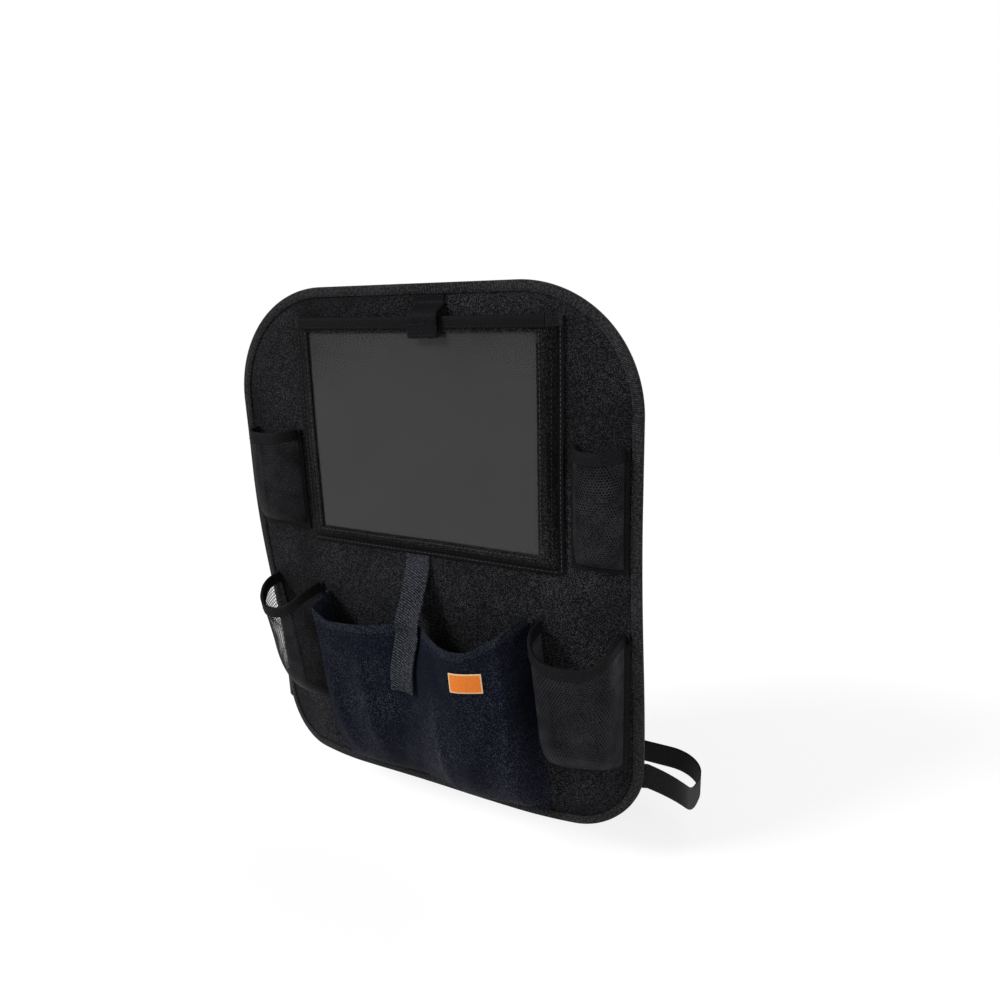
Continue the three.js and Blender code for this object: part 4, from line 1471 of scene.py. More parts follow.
@dataclass
class ClosureTab:
    """The upper tab, held on the pouch's mouth by touch tape."""

    pouch: TabletPouch
    x: float = 20
    width: float = 30
    overlap: float = 17
    loop_patch: float = 6
    margin: float = 2
    bend: float = 7

    def build(self) -> None:
        """Builds the tab and both of its patches."""
        pouch = self.pouch
        tape_front = GAP + pouch.depth + CLOTH + GAP + TAPE
        loop_back = tape_front + GAP
        hook_back = loop_back + TOUCH + GAP
        middle = -PANEL.thickness - hook_back - TOUCH - GAP - WEBBING / 2
        sewn = -PANEL.thickness - GAP - WEBBING / 2
        top, end = PANEL.seam_z, pouch.top - self.overlap
        route = [
            (sewn, top), (sewn - GAP, top - self.bend), (middle, pouch.top + GAP * self.bend),
            (middle, mix(pouch.top, end, 0.5)), (middle, end),
        ]
        HangingTab("closure_tab", self.x, self.width, route, PANEL.sway, 5, "dark_webbing").build()
        low, high = end + self.margin / 2, pouch.top - 1.5 * self.margin
        half = self.width / 2 - self.margin
        for name, z0, back in (("hook", low, hook_back), ("loop", high - self.loop_patch, loop_back)):
            xs = np.linspace(self.x - half, self.x + half, 20)
            x, z = np.meshgrid(xs, np.linspace(z0, high, 10), indexing="ij")
            made = slab(f"closure_{name}_tape", PANEL.on_face(x, z, back + TOUCH / 2), TOUCH, "hooks")
            settle(made, Slot.TOUCH, [f"closure_{name}_patch"])


@dataclass
class MeshPocket:
    """A pocket of open mesh with a folded tape along its mouth."""

    name: str
    left: float
    right: float
    low_left: float
    low_right: float
    bottom: float
    mouth: float
    sag: float
    depth: float
    base: float
    squareness: float
    pitch: float = 2.6
    thread: float = 0.55
    cloth: float = 1.2
    wall: float = 0.44
    lap: float = 0.8
    flange: float = 5
    tape_height: float = 9
    crumple: float = 0.035
    waist: float = 0.62  # share of the height at which the cloth's width is measured
    front: float = 0.42  # share of the way round at which its height is measured

    @property
    def tall(self) -> float:
        """Height from the bottom seam to the mouth."""
        return self.mouth - self.bottom

    def surface(self, turn: Grid, level: Grid) -> Grid:
        """The mesh's middle surface.

        Args:
            turn: 0 at the left seam, 1 at the right seam.
            level: height above the bottom seam.

        Returns:
            Points in millimetres.
        """
        share = np.clip(level / self.tall, 0, 1)
        left, right = mix(self.low_left, self.left, share), mix(self.low_right, self.right, share)
        power = 2 / self.squareness
        angle = math.pi * np.clip(turn, 0, 1)
        side = -np.sign(np.cos(angle)) * np.abs(np.cos(angle)) ** power
        swell = np.clip(level / (self.tall * self.base), 0, 1)
        bulge = np.sin(angle) ** power
        x = (left + right) / 2 + (right - left) / 2 * side
        upper = smooth((level - self.tall * self.base) / (self.tall * (1 - self.base)))
        z = self.bottom + level - self.sag * np.sin(angle) ** 2 * upper
        ripple = np.sin(x / 6.5 + z / 19) * np.sin(angle) * swell * (1 - 0.6 * share)
        crumple = self.crumple * self.depth * ripple
        rise = self.depth * np.sqrt(np.maximum(0, 1 - (1 - swell) ** 2)) * bulge + crumple
        return PANEL.on_face(x, z, GAP + self.cloth / 2 + rise)

    def lengths(self) -> tuple[Grid, Grid, Grid, Grid]:
        """Tables from cloth length to turn and to level.

        Returns:
            Turns and the length round the pocket up to each, then levels and the length up to each.
        """
        turns = np.linspace(0, 1, 400)
        around = running_length(self.surface(turns, np.full_like(turns, self.waist * self.tall)))
        levels = np.linspace(0, self.tall, 400)
        return turns, around, levels, running_length(self.surface(np.full_like(levels, self.front), levels))

    def build_mesh(self) -> None:
        """Builds the open mesh as a net of six-sided holes."""
        turns, around, levels, up = self.lengths()
        wide, tall = around[-1], up[-1] - 1

        def at(a: Grid, b: Grid) -> Grid:
            """Points at lengths round and up the cloth."""
            return self.surface(np.interp(a, around, turns), np.interp(b, up, levels))

        rise = self.pitch * math.sqrt(3) / 2
        u, v = np.meshgrid(np.arange(0, wide + self.pitch, self.pitch), np.arange(0, tall, rise))
        u = u + (np.arange(len(u)) % 2)[:, None] * self.pitch / 2
        centres = np.stack([u, v], -1).reshape(-1, 2)
        angles = np.radians(30 + 60 * np.arange(6))
        corner = np.stack([np.cos(angles), np.sin(angles)], 1) * self.pitch / math.sqrt(3)
        hole = corner * (1 - self.thread / self.pitch)
        cells = centres[:, None] + np.concatenate([corner, hole])[None]
        cells = np.stack([np.clip(cells[..., 0], 0, wide), np.clip(cells[..., 1], 0, tall)], -1)
        step = 0.2
        a, b = np.clip(cells[..., 0], step, wide - 2 * step), np.clip(cells[..., 1], step, tall - 2 * step)
        here = at(a, b)
        normals = unit(np.cross(at(a + step, b) - here, at(a, b + step) - here)) * self.wall / 2
        middle = at(cells[..., 0], cells[..., 1])
        points = np.concatenate([middle + normals, middle - normals], 1).reshape(-1, 3)
        k = np.arange(6)
        n = (k + 1) % 6
        ring = np.stack([k, n, n + 6, k + 6], 1)
        wall = np.stack([k + 6, n + 6, n + 18, k + 18], 1)
        cell = np.concatenate([ring, ring[:, ::-1] + 12, wall])
        faces = (cell[None] + 24 * np.arange(len(cells))[:, None, None]).reshape(-1, 4)
        uv = np.concatenate([cells, cells], 1).reshape(-1, 2) * MM
        made = make_object(f"{self.name}_net", points, faces, uv, "mesh")
        settle(made, Slot.MESH, [f"{self.name}_mesh"])

    def build_seam(self) -> None:
        """Builds the tape along both sides and the bottom seam, as a band on the panel."""
        levels = np.linspace(self.tall - 1, 0, 60)
        share = levels / self.tall
        left = np.stack([mix(self.low_left, self.left, share), self.bottom + levels], 1)
        right = np.stack([mix(self.low_right, self.right, share), self.bottom + levels], 1)[::-1]
        floor = np.linspace(left[-1], right[0], 40)[1:-1]
        seam = np.concatenate([left, floor, right])
        outward = np.zeros_like(seam)
        outward[: len(left), 0] -= 1
        outward[-len(right) :, 0] += 1
        outward[len(left) - 1 : len(left) + len(floor) + 1, 1] -= 1
        outer, inside = seam + outward * self.flange, seam - outward * self.lap
        lifts = (GAP, GAP + self.cloth, GAP + self.cloth + 0.15, GAP)
        rows = [outer, mix(outer, inside, 0.06), mix(outer, inside, 0.94), inside]
        points = np.stack([PANEL.on_face(r[:, 0], r[:, 1], lift) for r, lift in zip(rows, lifts)], 1)
        made = ringed(f"{self.name}_seam_tape", points, np.stack(rows, 1), False, "elastic")
        settle(made, Slot.MESH)

    def build_binding(self) -> None:
        """Builds the folded tape along the mouth, from flange to flange."""
        turns = np.linspace(0, 1, 90)
        level = np.full_like(turns, self.tall)
        at = self.surface(turns, level)
        down = at - self.surface(turns, level - 3)
        sides = np.array([self.left - self.flange, self.right + self.flange])
        ends = PANEL.on_face(sides, np.float64(self.mouth), GAP + self.cloth / 2 + TAPE)
        at = np.concatenate([ends[:1], at, ends[1:]])
        along = unit(np.concatenate([down[:1], down, down[-1:]]))
        out = unit(np.cross(np.gradient(at, axis=0), along))
        out = out * (1 + 0.05 * np.sin(running_length(at) / 2.3))[:, None]
        half = self.cloth / 2 + GAP
        section = tape_section(half, half + TAPE, self.tape_height, GAP, GAP + TAPE)
        made = swept(f"{self.name}_mouth_tape", at, out, along, section, "elastic")
        settle(made, Slot.TAPE, [f"{self.name}_binding"])
        thread = Stitching(f"{self.name}_stitching")
        off = unit(out) * (half + TAPE + STITCH_LIFT)
        thread.row(at - along * (self.tape_height - 1.7) + off, unit(out))
        middle = self.flange / 2
        thread.line(partial(PANEL.on_face, above=GAP + self.cloth + 0.15 + STITCH_LIFT), [
            (self.left - middle, self.mouth - 2), (self.low_left - middle, self.bottom - middle),
            (self.low_right + middle, self.bottom - middle), (self.right + middle, self.mouth - 2),
        ])
        thread.build("dark_thread", Slot.TAPE)

    def build(self) -> None:
        """Builds the net, its tapes and its stitches."""
        self.build_mesh()
        self.build_seam()
        self.build_binding()


@dataclass(frozen=True)
class Crease:
    """A soft fold in the wide pocket's cloth, from one end to the other."""

    x0: float
    z0: float
    x1: float
    z1: float
    spread: float
    height: float

    def lift(self, x: Grid, z: Grid) -> Grid:
        """How far the fold stands out.

        Args:
            x: places across.
            z: heights.

        Returns:
            The lift at each point.
        """
        along = np.array([self.x1 - self.x0, self.z1 - self.z0])
        length = np.hypot(*along)
        t = ((x - self.x0) * along[0] + (z - self.z0) * along[1]) / length**2
        off = ((x - self.x0) * along[1] - (z - self.z0) * along[0]) / length
        ends = np.sqrt(np.clip(np.sin(math.pi * np.clip(t, 0, 1)), 0, 1))
        return self.height * ends * np.exp(-((off / self.spread) ** 2))


@dataclass
class MainPocket:
    """The wide fabric pocket, with its hem, folds, label and tab."""

    left: float = -122.5
    right: float = 107
    low_left: float = -94
    low_right: float = 122
    mouth_left: float = -54
    mouth_right: float = -43
    depth: float = 38
    shoulder: float = 11
    base: float = 0.42
    bulge: float = 15
    bulge_x: float = 60
    bulge_spread: float = 34
    tuck: float = 8
    tuck_x: float = -7.5
    tuck_spread: float = 24
    lip_tuck: float = 15
    lip_reach: float = 46
    lip_spread: float = 34
    slack: float = 15
    slack_left: float = 32
    slack_right: float = 40
    dip: float = 3
    flange: float = 5
    hem: float = 13
    hem_fold: float = 0.55
    tab_width: float = 26
    tab_length: float = 62
    tab_hold: float = 46
    tab_bend: float = 9
    margin: float = 2
    label_box: tuple[float, float, float, float] = (70.5, -91.5, 30, 18.5)
    label_thickness: float = 0.8
    label_border: float = 1.2
    label_tilt: float = 4.5
    creases: tuple[Crease, ...] = (
        Crease(92, -100, 66, -214, 8, 3.8),
        Crease(34, -120, 48, -222, 7, 3.2),
        Crease(-62, -84, -36, -206, 9, 3.8),
        Crease(-98, -110, -70, -220, 8, 3.0),
        Crease(6, -160, -14, -228, 8, 2.6),
        Crease(112, -118, 100, -218, 6, 2.4),
        Crease(-104, -74, -44, -92, 8, -1.8),
        Crease(28, -66, 44, -112, 8, -2.2),
    )

    @property
    def low(self) -> float:
        """Height of the bottom seam's lower edge."""
        return -PANEL.seam_z

    def seams(self, z: Grid) -> tuple[Grid, Grid]:
        """The two side seams, which both slope to the right towards the bottom."""
        down = (self.mouth_right - z) / (self.mouth_right - self.low)
        return mix(self.left, self.low_left, down), mix(self.right, self.low_right, down)

    def sides(self, x: Grid, z: Grid) -> Grid:
        """How full the pocket is from side to side.

        Args:
            x: places across.
            z: heights.

        Returns:
            0 at either seam, 1 inside.
        """
        left, right = self.seams(z)
        share = (x - left) / (right - left)
        shoulder = self.shoulder / (self.right - self.left)
        return smooth(share / shoulder) * smooth((1 - share) / shoulder)

    def pulled_in(self, x: Grid, z: Grid) -> Grid:
        """How far the tab pulls the cloth in, most of all at the mouth.

        Args:
            x: places across.
            z: heights.

        Returns:
            The distance at each point.
        """
        near_lip = smooth(1 - (self.mouth(x) - z) / self.lip_reach)
        at_lip = self.lip_tuck * near_lip * bell(x, self.tuck_x, self.lip_spread)
        return at_lip + self.tuck * bell(x, self.tuck_x, self.tuck_spread)

    def stand_off(self, x: Grid, z: Grid) -> Grid:
        """How far the cloth stands off the panel.

        Args:
            x: places across.
            z: heights.

        Returns:
            The distance at each point.
        """
        low = self.low + self.flange
        up = np.clip((z - low) / ((self.mouth_left - low) * self.base), 0, 1)
        full = self.depth + self.bulge * bell(x, self.bulge_x, self.bulge_spread) - self.pulled_in(x, z)
        folds = sum(crease.lift(x, z) for crease in self.creases)
        return (full + folds) * self.sides(x, z) * np.sqrt(np.maximum(0, 1 - (1 - up) ** 2))

    def mouth(self, x: Grid) -> Grid:
        """Height of the pocket's mouth.

        Args:
            x: places across.

        Returns:
            The height at each place.
        """
        share = (x - self.left) / (self.right - self.left)
        ends = smooth((x - self.left) / self.slack_left) * smooth((self.right - x) / self.slack_right)
        dip = self.dip * bell(x, self.bulge_x, self.bulge_spread)
        return mix(self.mouth_left, self.mouth_right, share) - self.slack * ends - dip

    def front(self, x: Grid, z: Grid, above: Grid | float) -> Grid:
        """Points above the pocket's front."""
        return PANEL.on_face(x, z, GAP + CLOTH + self.stand_off(x, z) + above)

    def build_wall(self) -> None:
        """Builds the pocket's cloth with a folded hem."""
        edge = self.shoulder / (self.right - self.left)
        share = spaced(0, edge, 1 - edge, 1, step=0.008)
        share = np.unique(np.concatenate([share, np.linspace(0, edge, 12), 1 - np.linspace(0, edge, 12)]))
        steps = spaced(0, self.base, 0.9, 1, step=0.011)
        columns = []
        for s, beside in [(0.0, -self.flange), *[(s, 0.0) for s in share], (1.0, self.flange)]:
            top = self.mouth(mix(self.left, self.right, s))
            z = np.concatenate([[self.low], mix(self.low + self.flange, top, steps)])
            x = mix(*self.seams(z), s) + beside
            folded = self.hem_fold * smooth((z - (top - self.hem)) / 0.8)
            columns.append(PANEL.on_face(x, z, GAP + CLOTH / 2 + self.stand_off(x, z) + folded))
        made = slab("main_pocket_cloth", np.array(columns), CLOTH, "pocket")
        self.mark_hem(made)
        settle(made, Slot.POCKET, ["main_pocket"])

    def mark_hem(self, made: Piece) -> None:
        """Gives the folded hem its own finish: a lighter copy of the pocket cloth that paints a highlight
        along the top band.

        Args:
            made: the pocket's cloth.
        """
        mesh = made.data
        mesh.materials.append(WARDROBE.get("hem"))
        centres = np.zeros(len(mesh.polygons) * 3, np.float32)
        mesh.polygons.foreach_get("center", centres)
        x, _, z = centres.reshape(-1, 3).T / MM
        mesh.polygons.foreach_set("material_index", (z > self.mouth(x) - self.hem * 0.62).astype(np.int32))

    def sew(self) -> None:
        """Sews the hem and the side and bottom seams."""
        thread = Stitching("pocket_stitching")
        x = np.linspace(self.left + 3, self.right - 3, 240)
        for down in (self.hem - 1.5, 2.5):
            thread.follow(partial(self.front, above=self.hem_fold + 0.07), x, self.mouth(x) - down)
        half = self.flange / 2
        bottom = self.low + half
        thread.line(partial(PANEL.on_face, above=GAP + CLOTH + STITCH_LIFT), [
            (self.left - half, self.mouth_left - 2), (self.low_left - half, bottom),
            (self.low_right + half, bottom), (self.right + half, self.mouth_right - 2),
        ])
        thread.build("dark_thread", Slot.POCKET)

    def patch(self, name: str, box: tuple[float, float, float, float], above: float) -> Piece:
        """Builds a patch of touch tape that follows the pocket's front.

        Args:
            name: the piece's name.
            box: centre x, centre z, width and height.
            above: distance from the pocket's front.

        Returns:
            The patch.
        """
        cx, cz, width, height = box
        xs = np.linspace(cx - width / 2, cx + width / 2, 28)
        zs = np.linspace(cz - height / 2, cz + height / 2, 24)
        x, z = np.meshgrid(xs, zs, indexing="ij")
        return slab(name, self.front(x, z, above + TOUCH / 2), TOUCH, "hooks")

    def build_tab(self, top: float) -> None:
        """Builds the middle tab and its touch tape.

        Args:
            top: height of the tab's sewn end.
        """
        x, at = self.tuck_x, np.array([self.tuck_x])
        lip = float(self.mouth(at)[0])
        end = lip - self.tab_length
        box = (x, end + self.margin / 2 + self.tab_hold / 2, self.tab_width - 2 * self.margin, self.tab_hold)
        hook_lift = LOOSE_GAP + TOUCH + GAP
        for name, lift in (("loop", LOOSE_GAP), ("hook", hook_lift)):
            made = self.patch(f"pocket_{name}_tape", box, lift)
            settle(made, Slot.TOUCH, [f"pocket_{name}_patch"])
        sewn = -PANEL.thickness - GAP - WEBBING / 2
        start = top - self.tab_bend

        def level(z: float) -> float:
            """Depth of the tab's middle where it lies on the pocket."""
            above = hook_lift + TOUCH + GAP + LOOSE_GAP + WEBBING / 2
            return float(self.front(at, np.array([float(z)]), above)[0, 1])

        def follow(px: Grid, pz: Grid) -> Grid:
            """Follows the pocket's front sideways, more and more below the sewn end."""
            here, middle = self.front(px, pz, 0)[..., 1], self.front(np.full_like(px, x), pz, 0)[..., 1]
            return (here - middle) * smooth((start - pz) / (start - lip))

        route = [(depth + float(PANEL.sway(at, z)[0]), z) for depth, z in ((sewn, top), (sewn - 1, start))]
        route += [
            (mix(sewn, level(lip), 0.55), mix(top, lip, 0.62)), (level(lip) - WEBBING, lip + self.margin),
        ]
        route += [(level(z), z) for z in np.linspace(lip - 8, end, 7)]
        HangingTab("pocket_tab", x, self.tab_width, route, follow, 6, "webbing").build()

    def build_label(self) -> None:
        """Builds the bare label with its pale border."""
        cx, cz, width, height = self.label_box
        border, tilt = self.label_border, math.radians(self.label_tilt)
        us = spaced(-width / 2, border - width / 2, width / 2 - border, width / 2, step=1.1)
        vs = spaced(-height / 2, border - height / 2, height / 2 - border, height / 2, step=1.1)
        u, v = np.meshgrid(us, vs, indexing="ij")
        x = cx + u * math.cos(tilt) - v * math.sin(tilt)
        z = cz + u * math.sin(tilt) + v * math.cos(tilt)
        thick = self.label_thickness
        made = slab("bare_label", self.front(x, z, LOOSE_GAP + thick / 2), thick, "label")
        mesh = made.data
        mesh.materials.append(WARDROBE.get("label_edge"))
        for face in mesh.polygons:
            dx, dz = face.center.x / MM - cx, face.center.z / MM - cz
            across = abs(dx * math.cos(tilt) + dz * math.sin(tilt))
            up = abs(dz * math.cos(tilt) - dx * math.sin(tilt))
            face.material_index = int(min(width / 2 - across, height / 2 - up) < border)
        settle(made, Slot.LABEL, ["label"])

    def build(self, pouch_bottom: float) -> None:
        """Builds the pocket and all that is on it.

        Args:
            pouch_bottom: height of the tablet pouch's lower end, which the tab hangs from.
        """
        self.build_wall()
        self.sew()
        self.build_tab(pouch_bottom - 1)
        self.build_label()


@dataclass
class Route:
    """A path in plan, of straight runs and arcs."""

    points: list[tuple[float, float]]
    straight_step: float = 4
    round_step: float = 2.5

    def to(self, x: float, y: float) -> None:
        """Goes straight to a point.

        Args:
            x: the point's x.
            y: the point's y.
        """
        x0, y0 = self.points[-1]
        count = max(1, int(math.hypot(x - x0, y - y0) / self.straight_step))
        self.points += [(mix(x0, x, k / count), mix(y0, y, k / count)) for k in range(1, count + 1)]

    def arc(self, cx: float, cy: float, radius: float, start: float, end: float) -> None:
        """Goes round an arc.

        Args:
            cx: its centre's x.
            cy: its centre's y.
            radius: its radius.
            start: the angle that it starts at, in degrees.
            end: the angle that it ends at.
        """
        count = max(8, int(abs(math.radians(end - start)) * radius / self.round_step))
        for k in range(1, count + 1):
            turn = math.radians(mix(start, end, k / count))
            self.points.append((cx + radius * math.cos(turn), cy + radius * math.sin(turn)))

    def bend(self, via: tuple[float, float], x: float, y: float) -> None:
        """Goes to a point along a curve.

        Args:
            via: what the curve is pulled towards.
            x: the point's x.
            y: the point's y.
        """
        x0, y0 = self.points[-1]
        for t in np.linspace(0, 1, 14)[1:]:
            a, b, c = (1 - t) ** 2, 2 * t * (1 - t), t * t
            self.points.append((a * x0 + b * via[0] + c * x, a * y0 + b * via[1] + c * y))


@dataclass
class BuckleSizes:
    """The buckle's sizes that the webbing goes round."""

    socket: float = 36
    bar: float = 2.8
    plug: float = 23
    slot: float = 4.2
    clearance: float = 0.9
    approach: float = 10
    settle: float = 22

    @property
    def wrap(self) -> float:
        """Radius of the webbing's middle round a bar."""
        return self.bar / 2 + self.clearance + WEBBING / 2

    @property
    def socket_bar(self) -> float:
        """The socket's bar, from the mouth."""
        return self.socket - self.bar / 2

    @property
    def plug_bar(self) -> float:
        """The plug's inner bar, from the mouth."""
        return -(self.plug - self.bar * 1.5 - self.slot)


BUCKLE = BuckleSizes()


@dataclass(frozen=True)
class Strap:
    """One half of a strap, from its sewn end to its buckle."""

    loop: str  # what it goes round: headrest or seat
    side: Side
    x: float
    z: float
    depth: float
    corner: float
    tail: float
    bends: tuple[float, float]  # depths along a plug's half
    drop: float = 0
    turn: float = 0
    sewn: float = 34
    buckle_x: float = -6
    width: float = 25
    fade: int = 12  # points over which it stops following the panel

    @property
    def node(self) -> str:
        """The CAD node that it replaces."""
        return f"{self.loop}_strap_{self.side.name.lower()}"

    @property
    def sewn_to(self) -> float:
        """Where the part that lies on the panel ends."""
        return PANEL.half_width_max - PANEL.cover - 5 if self.turn else self.x - self.corner

    @property
    def bar(self) -> float:
        """Where the strap turns round its bar, as seen from its own side."""
        place = BUCKLE.socket_bar if self.side is Side.RIGHT else BUCKLE.plug_bar
        return self.side.value * (self.buckle_x + place)

    def finish_route(self, route: Route) -> None:
        """Takes the route along the far run, round the bar and back beside itself.

        Args:
            route: the route so far, up to the far corner.
        """
        far = self.depth + BUCKLE.wrap
        back = far - WEBBING - GAP - 0.1
        route.arc(self.x - self.corner, far - self.corner, self.corner, 0, 90)
        route.to(self.bar, far)
        route.arc(self.bar, self.depth, BUCKLE.wrap, 90, 270)
        route.to(self.bar + BUCKLE.approach, self.depth - BUCKLE.wrap)
        route.to(self.bar + BUCKLE.settle, back)
        tail = self.tail / 2 if self.side is Side.RIGHT else self.tail
        route.to(self.bar + BUCKLE.settle + tail, back)

    def headrest_route(self) -> Grid:
        """Route of a strap round the headrest's posts.

        Returns:
            x and y of each point.
        """
        start = GAP + WEBBING / 2
        route = Route([(self.sewn_to - self.sewn, start)])
        route.to(self.sewn_to, start)
        route.arc(self.sewn_to, start + self.corner, self.corner, -90, 0)
        route.to(self.x, self.depth + BUCKLE.wrap - self.corner)
        self.finish_route(route)
        return np.array(route.points)

    def seat_route(self) -> tuple[Grid, int, float]:
        """Route of a strap round the seat's back.

        Returns:
            x and y of each point, how many points lie on the panel, and the depth of its edge.
        """
        points = []
        near, over = GAP + WEBBING / 2, 2 * LOOSE_GAP + TAPE + WEBBING / 2
        on_cloth = np.linspace(self.sewn_to - self.sewn, self.sewn_to - 3, 9)
        on_tape = np.linspace(self.sewn_to, PANEL.half_width_max + 2, 5)
        for lift, xs in ((near, on_cloth), (over, on_tape)):
            points += [(x, lift + float(PANEL.lean(x, np.float64(self.z)))) for x in xs]
        route = Route(points)
        follows = len(route.points) - 1
        edge_y = route.points[-1][1]
        route.bend((self.x, mix(edge_y, edge_y + self.turn, 0.3)), self.x, edge_y + self.turn)
        route.to(self.x, self.depth + BUCKLE.wrap - self.corner)
        self.finish_route(route)
        return np.array(route.points), follows, edge_y

    def build(self, blend_to: Body | None) -> None:
        """Builds the strap and puts the half without a plug on the organizer's body.

        Args:
            blend_to: the plug's body, for the half that goes with the plug, which is left on no body.
        """
        round_seat = self.turn > 0
        if round_seat:
            path, follows, edge_y = self.seat_route()
            far = self.depth - self.corner
            drop = self.drop * np.sin(math.pi / 2 * np.clip((path[:, 1] - edge_y) / (far - edge_y), 0, 1))
        else:
            path, follows, drop = self.headrest_route(), int(self.sewn / 4), np.zeros(1)
        across = self.width * np.linspace(-0.5, 0.5, 9)
        x = self.side.value * np.broadcast_to(path[:, :1], (len(path), len(across)))
        level = self.z + np.broadcast_to(across, x.shape)
        index = np.arange(len(path))[:, None]
        fade = np.clip(1 - (index - follows) / self.fade, 0, 1)
        mid = np.full_like(x, self.z)
        lean = (PANEL.lean(x, level) - PANEL.lean(x, mid)) * fade if round_seat else 0.0
        y = path[:, 1:] + lean + PANEL.relief(x, level) * fade
        z = level - (drop[:, None] if len(drop) > 1 else 0.0)
        name = f"{self.loop}_webbing_{self.side.name.lower()}"
        made = slab(name, np.stack([x, y, z], -1), WEBBING, "strap")
        if blend_to is None:
            settle(made, Slot.WEBBING, [self.node])
            return
        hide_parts(self.node)
        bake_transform(made)
        LOG.info("%s: %d faces, bends to %s", made.name, len(made.data.polygons), blend_to.value)

    def sew_on(self, thread: Stitching) -> None:
        """Sews a crossed box where the strap lies on the panel's back.

        Args:
            thread: the stitching that it adds to.
        """
        half, x0 = self.width / 2 - 2.5, self.sewn_to - self.sewn + 2
        x1, low, high = self.sewn_to - 4, self.z - half, self.z + half
        corners = [(x0, low), (x0, high), (x1, high), (x1, low), (x0, low), (x1, high), (x1, low), (x0, high)]
        for (ax, az), (bx, bz) in zip(corners[:-1], corners[1:]):
            steps = thread.steps(bx - ax, bz - az)
            x, z = self.side.value * np.linspace(ax, bx, steps), np.linspace(az, bz, steps)
            behind = np.tile([0.0, 1.0, 0.0], (steps, 1))
            thread.row(PANEL.on_back(x, z, GAP + WEBBING + 0.1), behind)


@dataclass(frozen=True)
class Harness:
    """Both straps, their stitches and their buckles."""

    headrest: Strap = Strap("headrest", Side.RIGHT, 92, 204, 60, 18, 46, (14, 46))
    seat: Strap = Strap("seat", Side.RIGHT, 240, -192, 150, 40, 60, (28, 100), drop=60, turn=40)

    def build(self) -> None:
        """Builds the straps, sews them on and dresses the buckles."""
        thread = Stitching("strap_stitching")
        straps = ((self.headrest, Body.HEADREST_PLUG), (self.seat, Body.SEAT_PLUG))
        for strap, plug in straps:
            for half, bends_to in ((strap, None), (replace(strap, side=Side.LEFT), plug)):
                half.build(bends_to)
                half.sew_on(thread)
        thread.build("thread", Slot.WEBBING)
        for strap, _ in straps:
            for part in ("socket", "plug"):
                name = f"{strap.loop}_buckle_{part}"
                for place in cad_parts[name].material_slots:
                    place.material = WARDROBE.get("plastic")
                LOG.info("%s: moulded plastic", name)


@dataclass(frozen=True)
class PhotoCamera:
    """The camera that matches the photograph."""

    azimuth: float = 28.06
    elevation: float = 14.77
    roll: float = -1.55
    target: Place = (80.6, 0, 61.6)
    distance: float = 666.7
    focal_px: float = 760
    sensor: float = 36
    frame_px: float = 1000

    def build(self) -> None:
        """Makes the camera and sets it as the scene's camera."""
        az, el, roll = (math.radians(v) for v in (self.azimuth, self.elevation, self.roll))
        back = Vector((math.sin(az) * math.cos(el), -math.cos(az) * math.cos(el), math.sin(el)))
        right = Vector((0, 0, 1)).cross(back).normalized()
        up = back.cross(right)
        rolled = right * math.cos(roll) + up * math.sin(roll)
        risen = up * math.cos(roll) - right * math.sin(roll)
        lens = bpy.data.cameras.new("photo_camera")
        lens.sensor_width = self.sensor
        lens.lens = self.focal_px / self.frame_px * self.sensor
        lens.clip_start = 0.01
        camera = bpy.data.objects.new("photo_camera", lens)
        place = (Vector(self.target) + back * self.distance) * MM
        turn = Matrix((rolled, risen, back)).transposed().to_4x4()
        camera.matrix_world = Matrix.Translation(place) @ turn
        bpy.context.scene.collection.objects.link(camera)
        bpy.context.scene.camera = camera


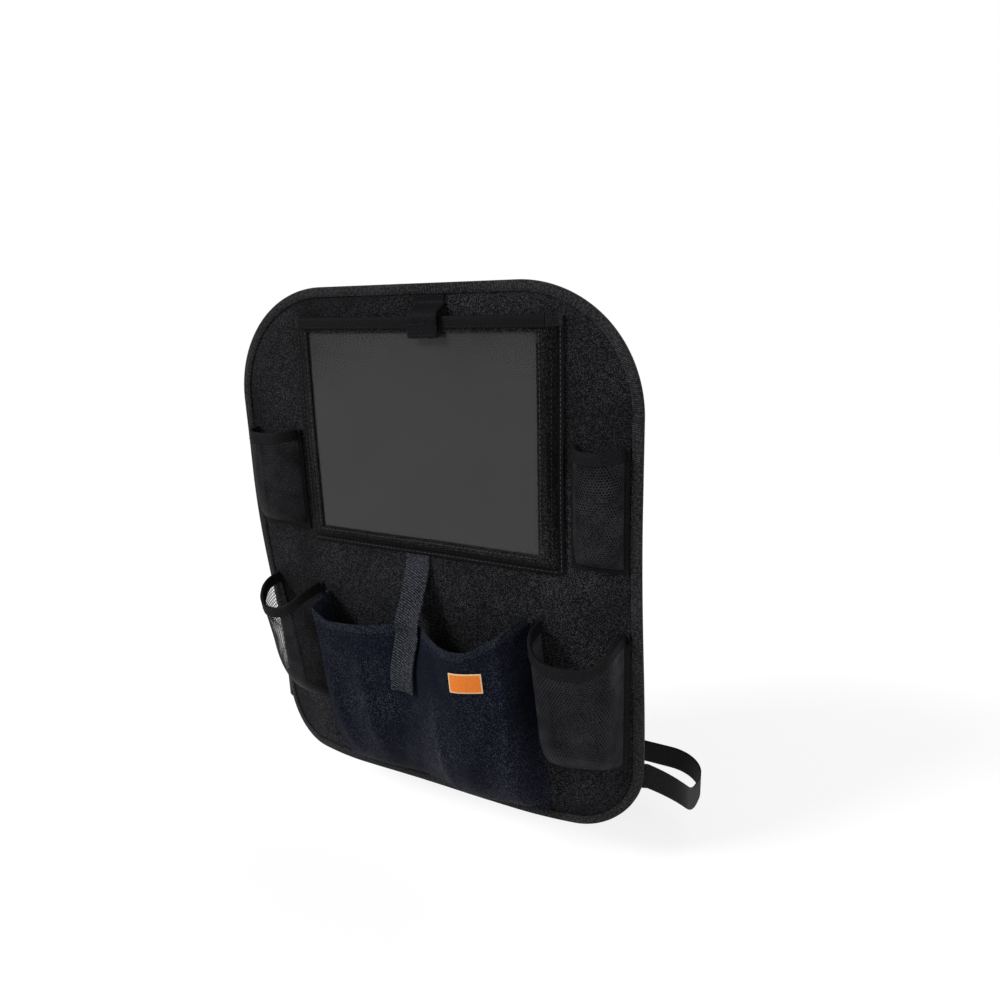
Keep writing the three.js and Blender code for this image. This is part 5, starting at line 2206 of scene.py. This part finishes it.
@dataclass(frozen=True)
class Studio:
    """Pale floor, white surroundings and soft lamps."""

    floor_z: float = -300
    surround: float = 0.42
    floor_glow: float = 0.55
    floor_white: float = 0.6
    key: float = 2.5
    key_from: Place = (-1.1, -1.2, 1.2)
    key_angle: float = 16
    # name, place, size and power
    lamps: tuple[tuple[str, Place, float, float], ...] = (
        ("side_lamp", (1.5, -0.7, 0.6), 0.8, 6),
        ("back_lamp", (0.4, 1.6, 1.0), 1.2, 8),
    )

    def build_floor(self) -> None:
        """Makes the pale floor, which keeps the object's shadow."""
        bpy.ops.mesh.primitive_plane_add(size=14, location=(0, 0, self.floor_z * MM))
        floor = bpy.context.object
        floor.name = "pale_floor"
        material = bpy.data.materials.new("pale_floor")
        material.use_nodes = True
        graph = Graph(material.node_tree)
        shader = material.node_tree.nodes["Principled BSDF"]
        shader.inputs["Base Color"].default_value = (self.floor_white,) * 3 + (1,)
        shader.inputs["Roughness"].default_value = 0.9
        shader.inputs["Specular IOR Level"].default_value = 0.0
        glow = graph.add("ShaderNodeEmission")
        glow.inputs["Color"].default_value = (1, 1, 1, 1)
        sunlit = self.key / math.pi * Vector(self.key_from).normalized().z
        lit = (1 - self.floor_glow) * self.floor_white * (self.surround + sunlit)
        glow.inputs["Strength"].default_value = (1.0 - lit) / self.floor_glow
        path = graph.add("ShaderNodeLightPath")
        seen = graph.math("MAXIMUM", path.outputs["Is Camera Ray"], path.outputs["Is Glossy Ray"])
        seen = graph.math("MAXIMUM", seen, path.outputs["Is Transmission Ray"])
        share = graph.math("MULTIPLY", seen, self.floor_glow)
        graph.join(share, shader, glow, material.node_tree.nodes["Material Output"])
        floor.data.materials.append(material)

    def build_world(self) -> None:
        """Makes the surroundings: plain light, seen as white."""
        world = bpy.data.worlds.new("surroundings")
        bpy.context.scene.world = world
        world.use_nodes = True
        graph = Graph(world.node_tree)
        light = world.node_tree.nodes["Background"]
        light.inputs["Color"].default_value = (1, 1, 1, 1)
        light.inputs["Strength"].default_value = self.surround
        white = graph.add("ShaderNodeBackground")
        white.inputs["Color"].default_value = (1, 1, 1, 1)
        path = graph.add("ShaderNodeLightPath")
        seen = graph.math("MAXIMUM", path.outputs["Is Camera Ray"], path.outputs["Is Transmission Ray"])
        graph.join(seen, light, white, world.node_tree.nodes["World Output"])

    def light(self, name: str, kind: str, place: Place, power: float) -> bpy.types.Light:
        """Adds a light that shines from a place towards the scene's origin.

        Args:
            name: the light's name.
            kind: Blender's type of light.
            place: where it stands, in metres.
            power: its strength.

        Returns:
            The light's data.
        """
        data = bpy.data.lights.new(name, kind)
        data.energy = power
        made = bpy.data.objects.new(name, data)
        made.location = place
        made.rotation_euler = Vector(place).to_track_quat("Z", "Y").to_euler()
        bpy.context.scene.collection.objects.link(made)
        return data

    def build(self) -> None:
        """Builds the floor, surroundings, lamps and view settings."""
        self.build_floor()
        self.build_world()
        self.light("key_light", "SUN", self.key_from, self.key).angle = math.radians(self.key_angle)
        for name, place, size, power in self.lamps:
            self.light(name, "AREA", place, power).size = size
        bpy.context.scene.view_settings.view_transform = "Standard"


MESH_POCKETS = (
    MeshPocket("tissue_pocket", -195, -142, -195, -142, 16, 112, 2, 22, 0.3, 2.6),
    MeshPocket("pen_pocket", 154, 195, 154, 195, 14, 116, 3, 20, 0.3, 2.4),
    MeshPocket("bottle_pocket", -195, -133, -174, -114.5, -174, -48, 18, 44, 0.5, 2.6),
    MeshPocket("wipes_pocket", 118.5, 195, 131, 192, -178, -46, 20, 42, 0.28, 3.6),
)


def main() -> None:
    """Builds the camera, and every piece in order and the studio."""
    logging.basicConfig(level=logging.INFO, format="%(name)s: %(message)s")
    PhotoCamera().build()
    EdgeBinding().build()
    BackPanel().build()
    pouch = TabletPouch()
    pouch.build()
    ClosureTab(pouch).build()
    for pocket in MESH_POCKETS:
        pocket.build()
    MainPocket().build(pouch.bottom)
    Harness().build()
    Studio().build()


if __name__ == "__main__":
    main()
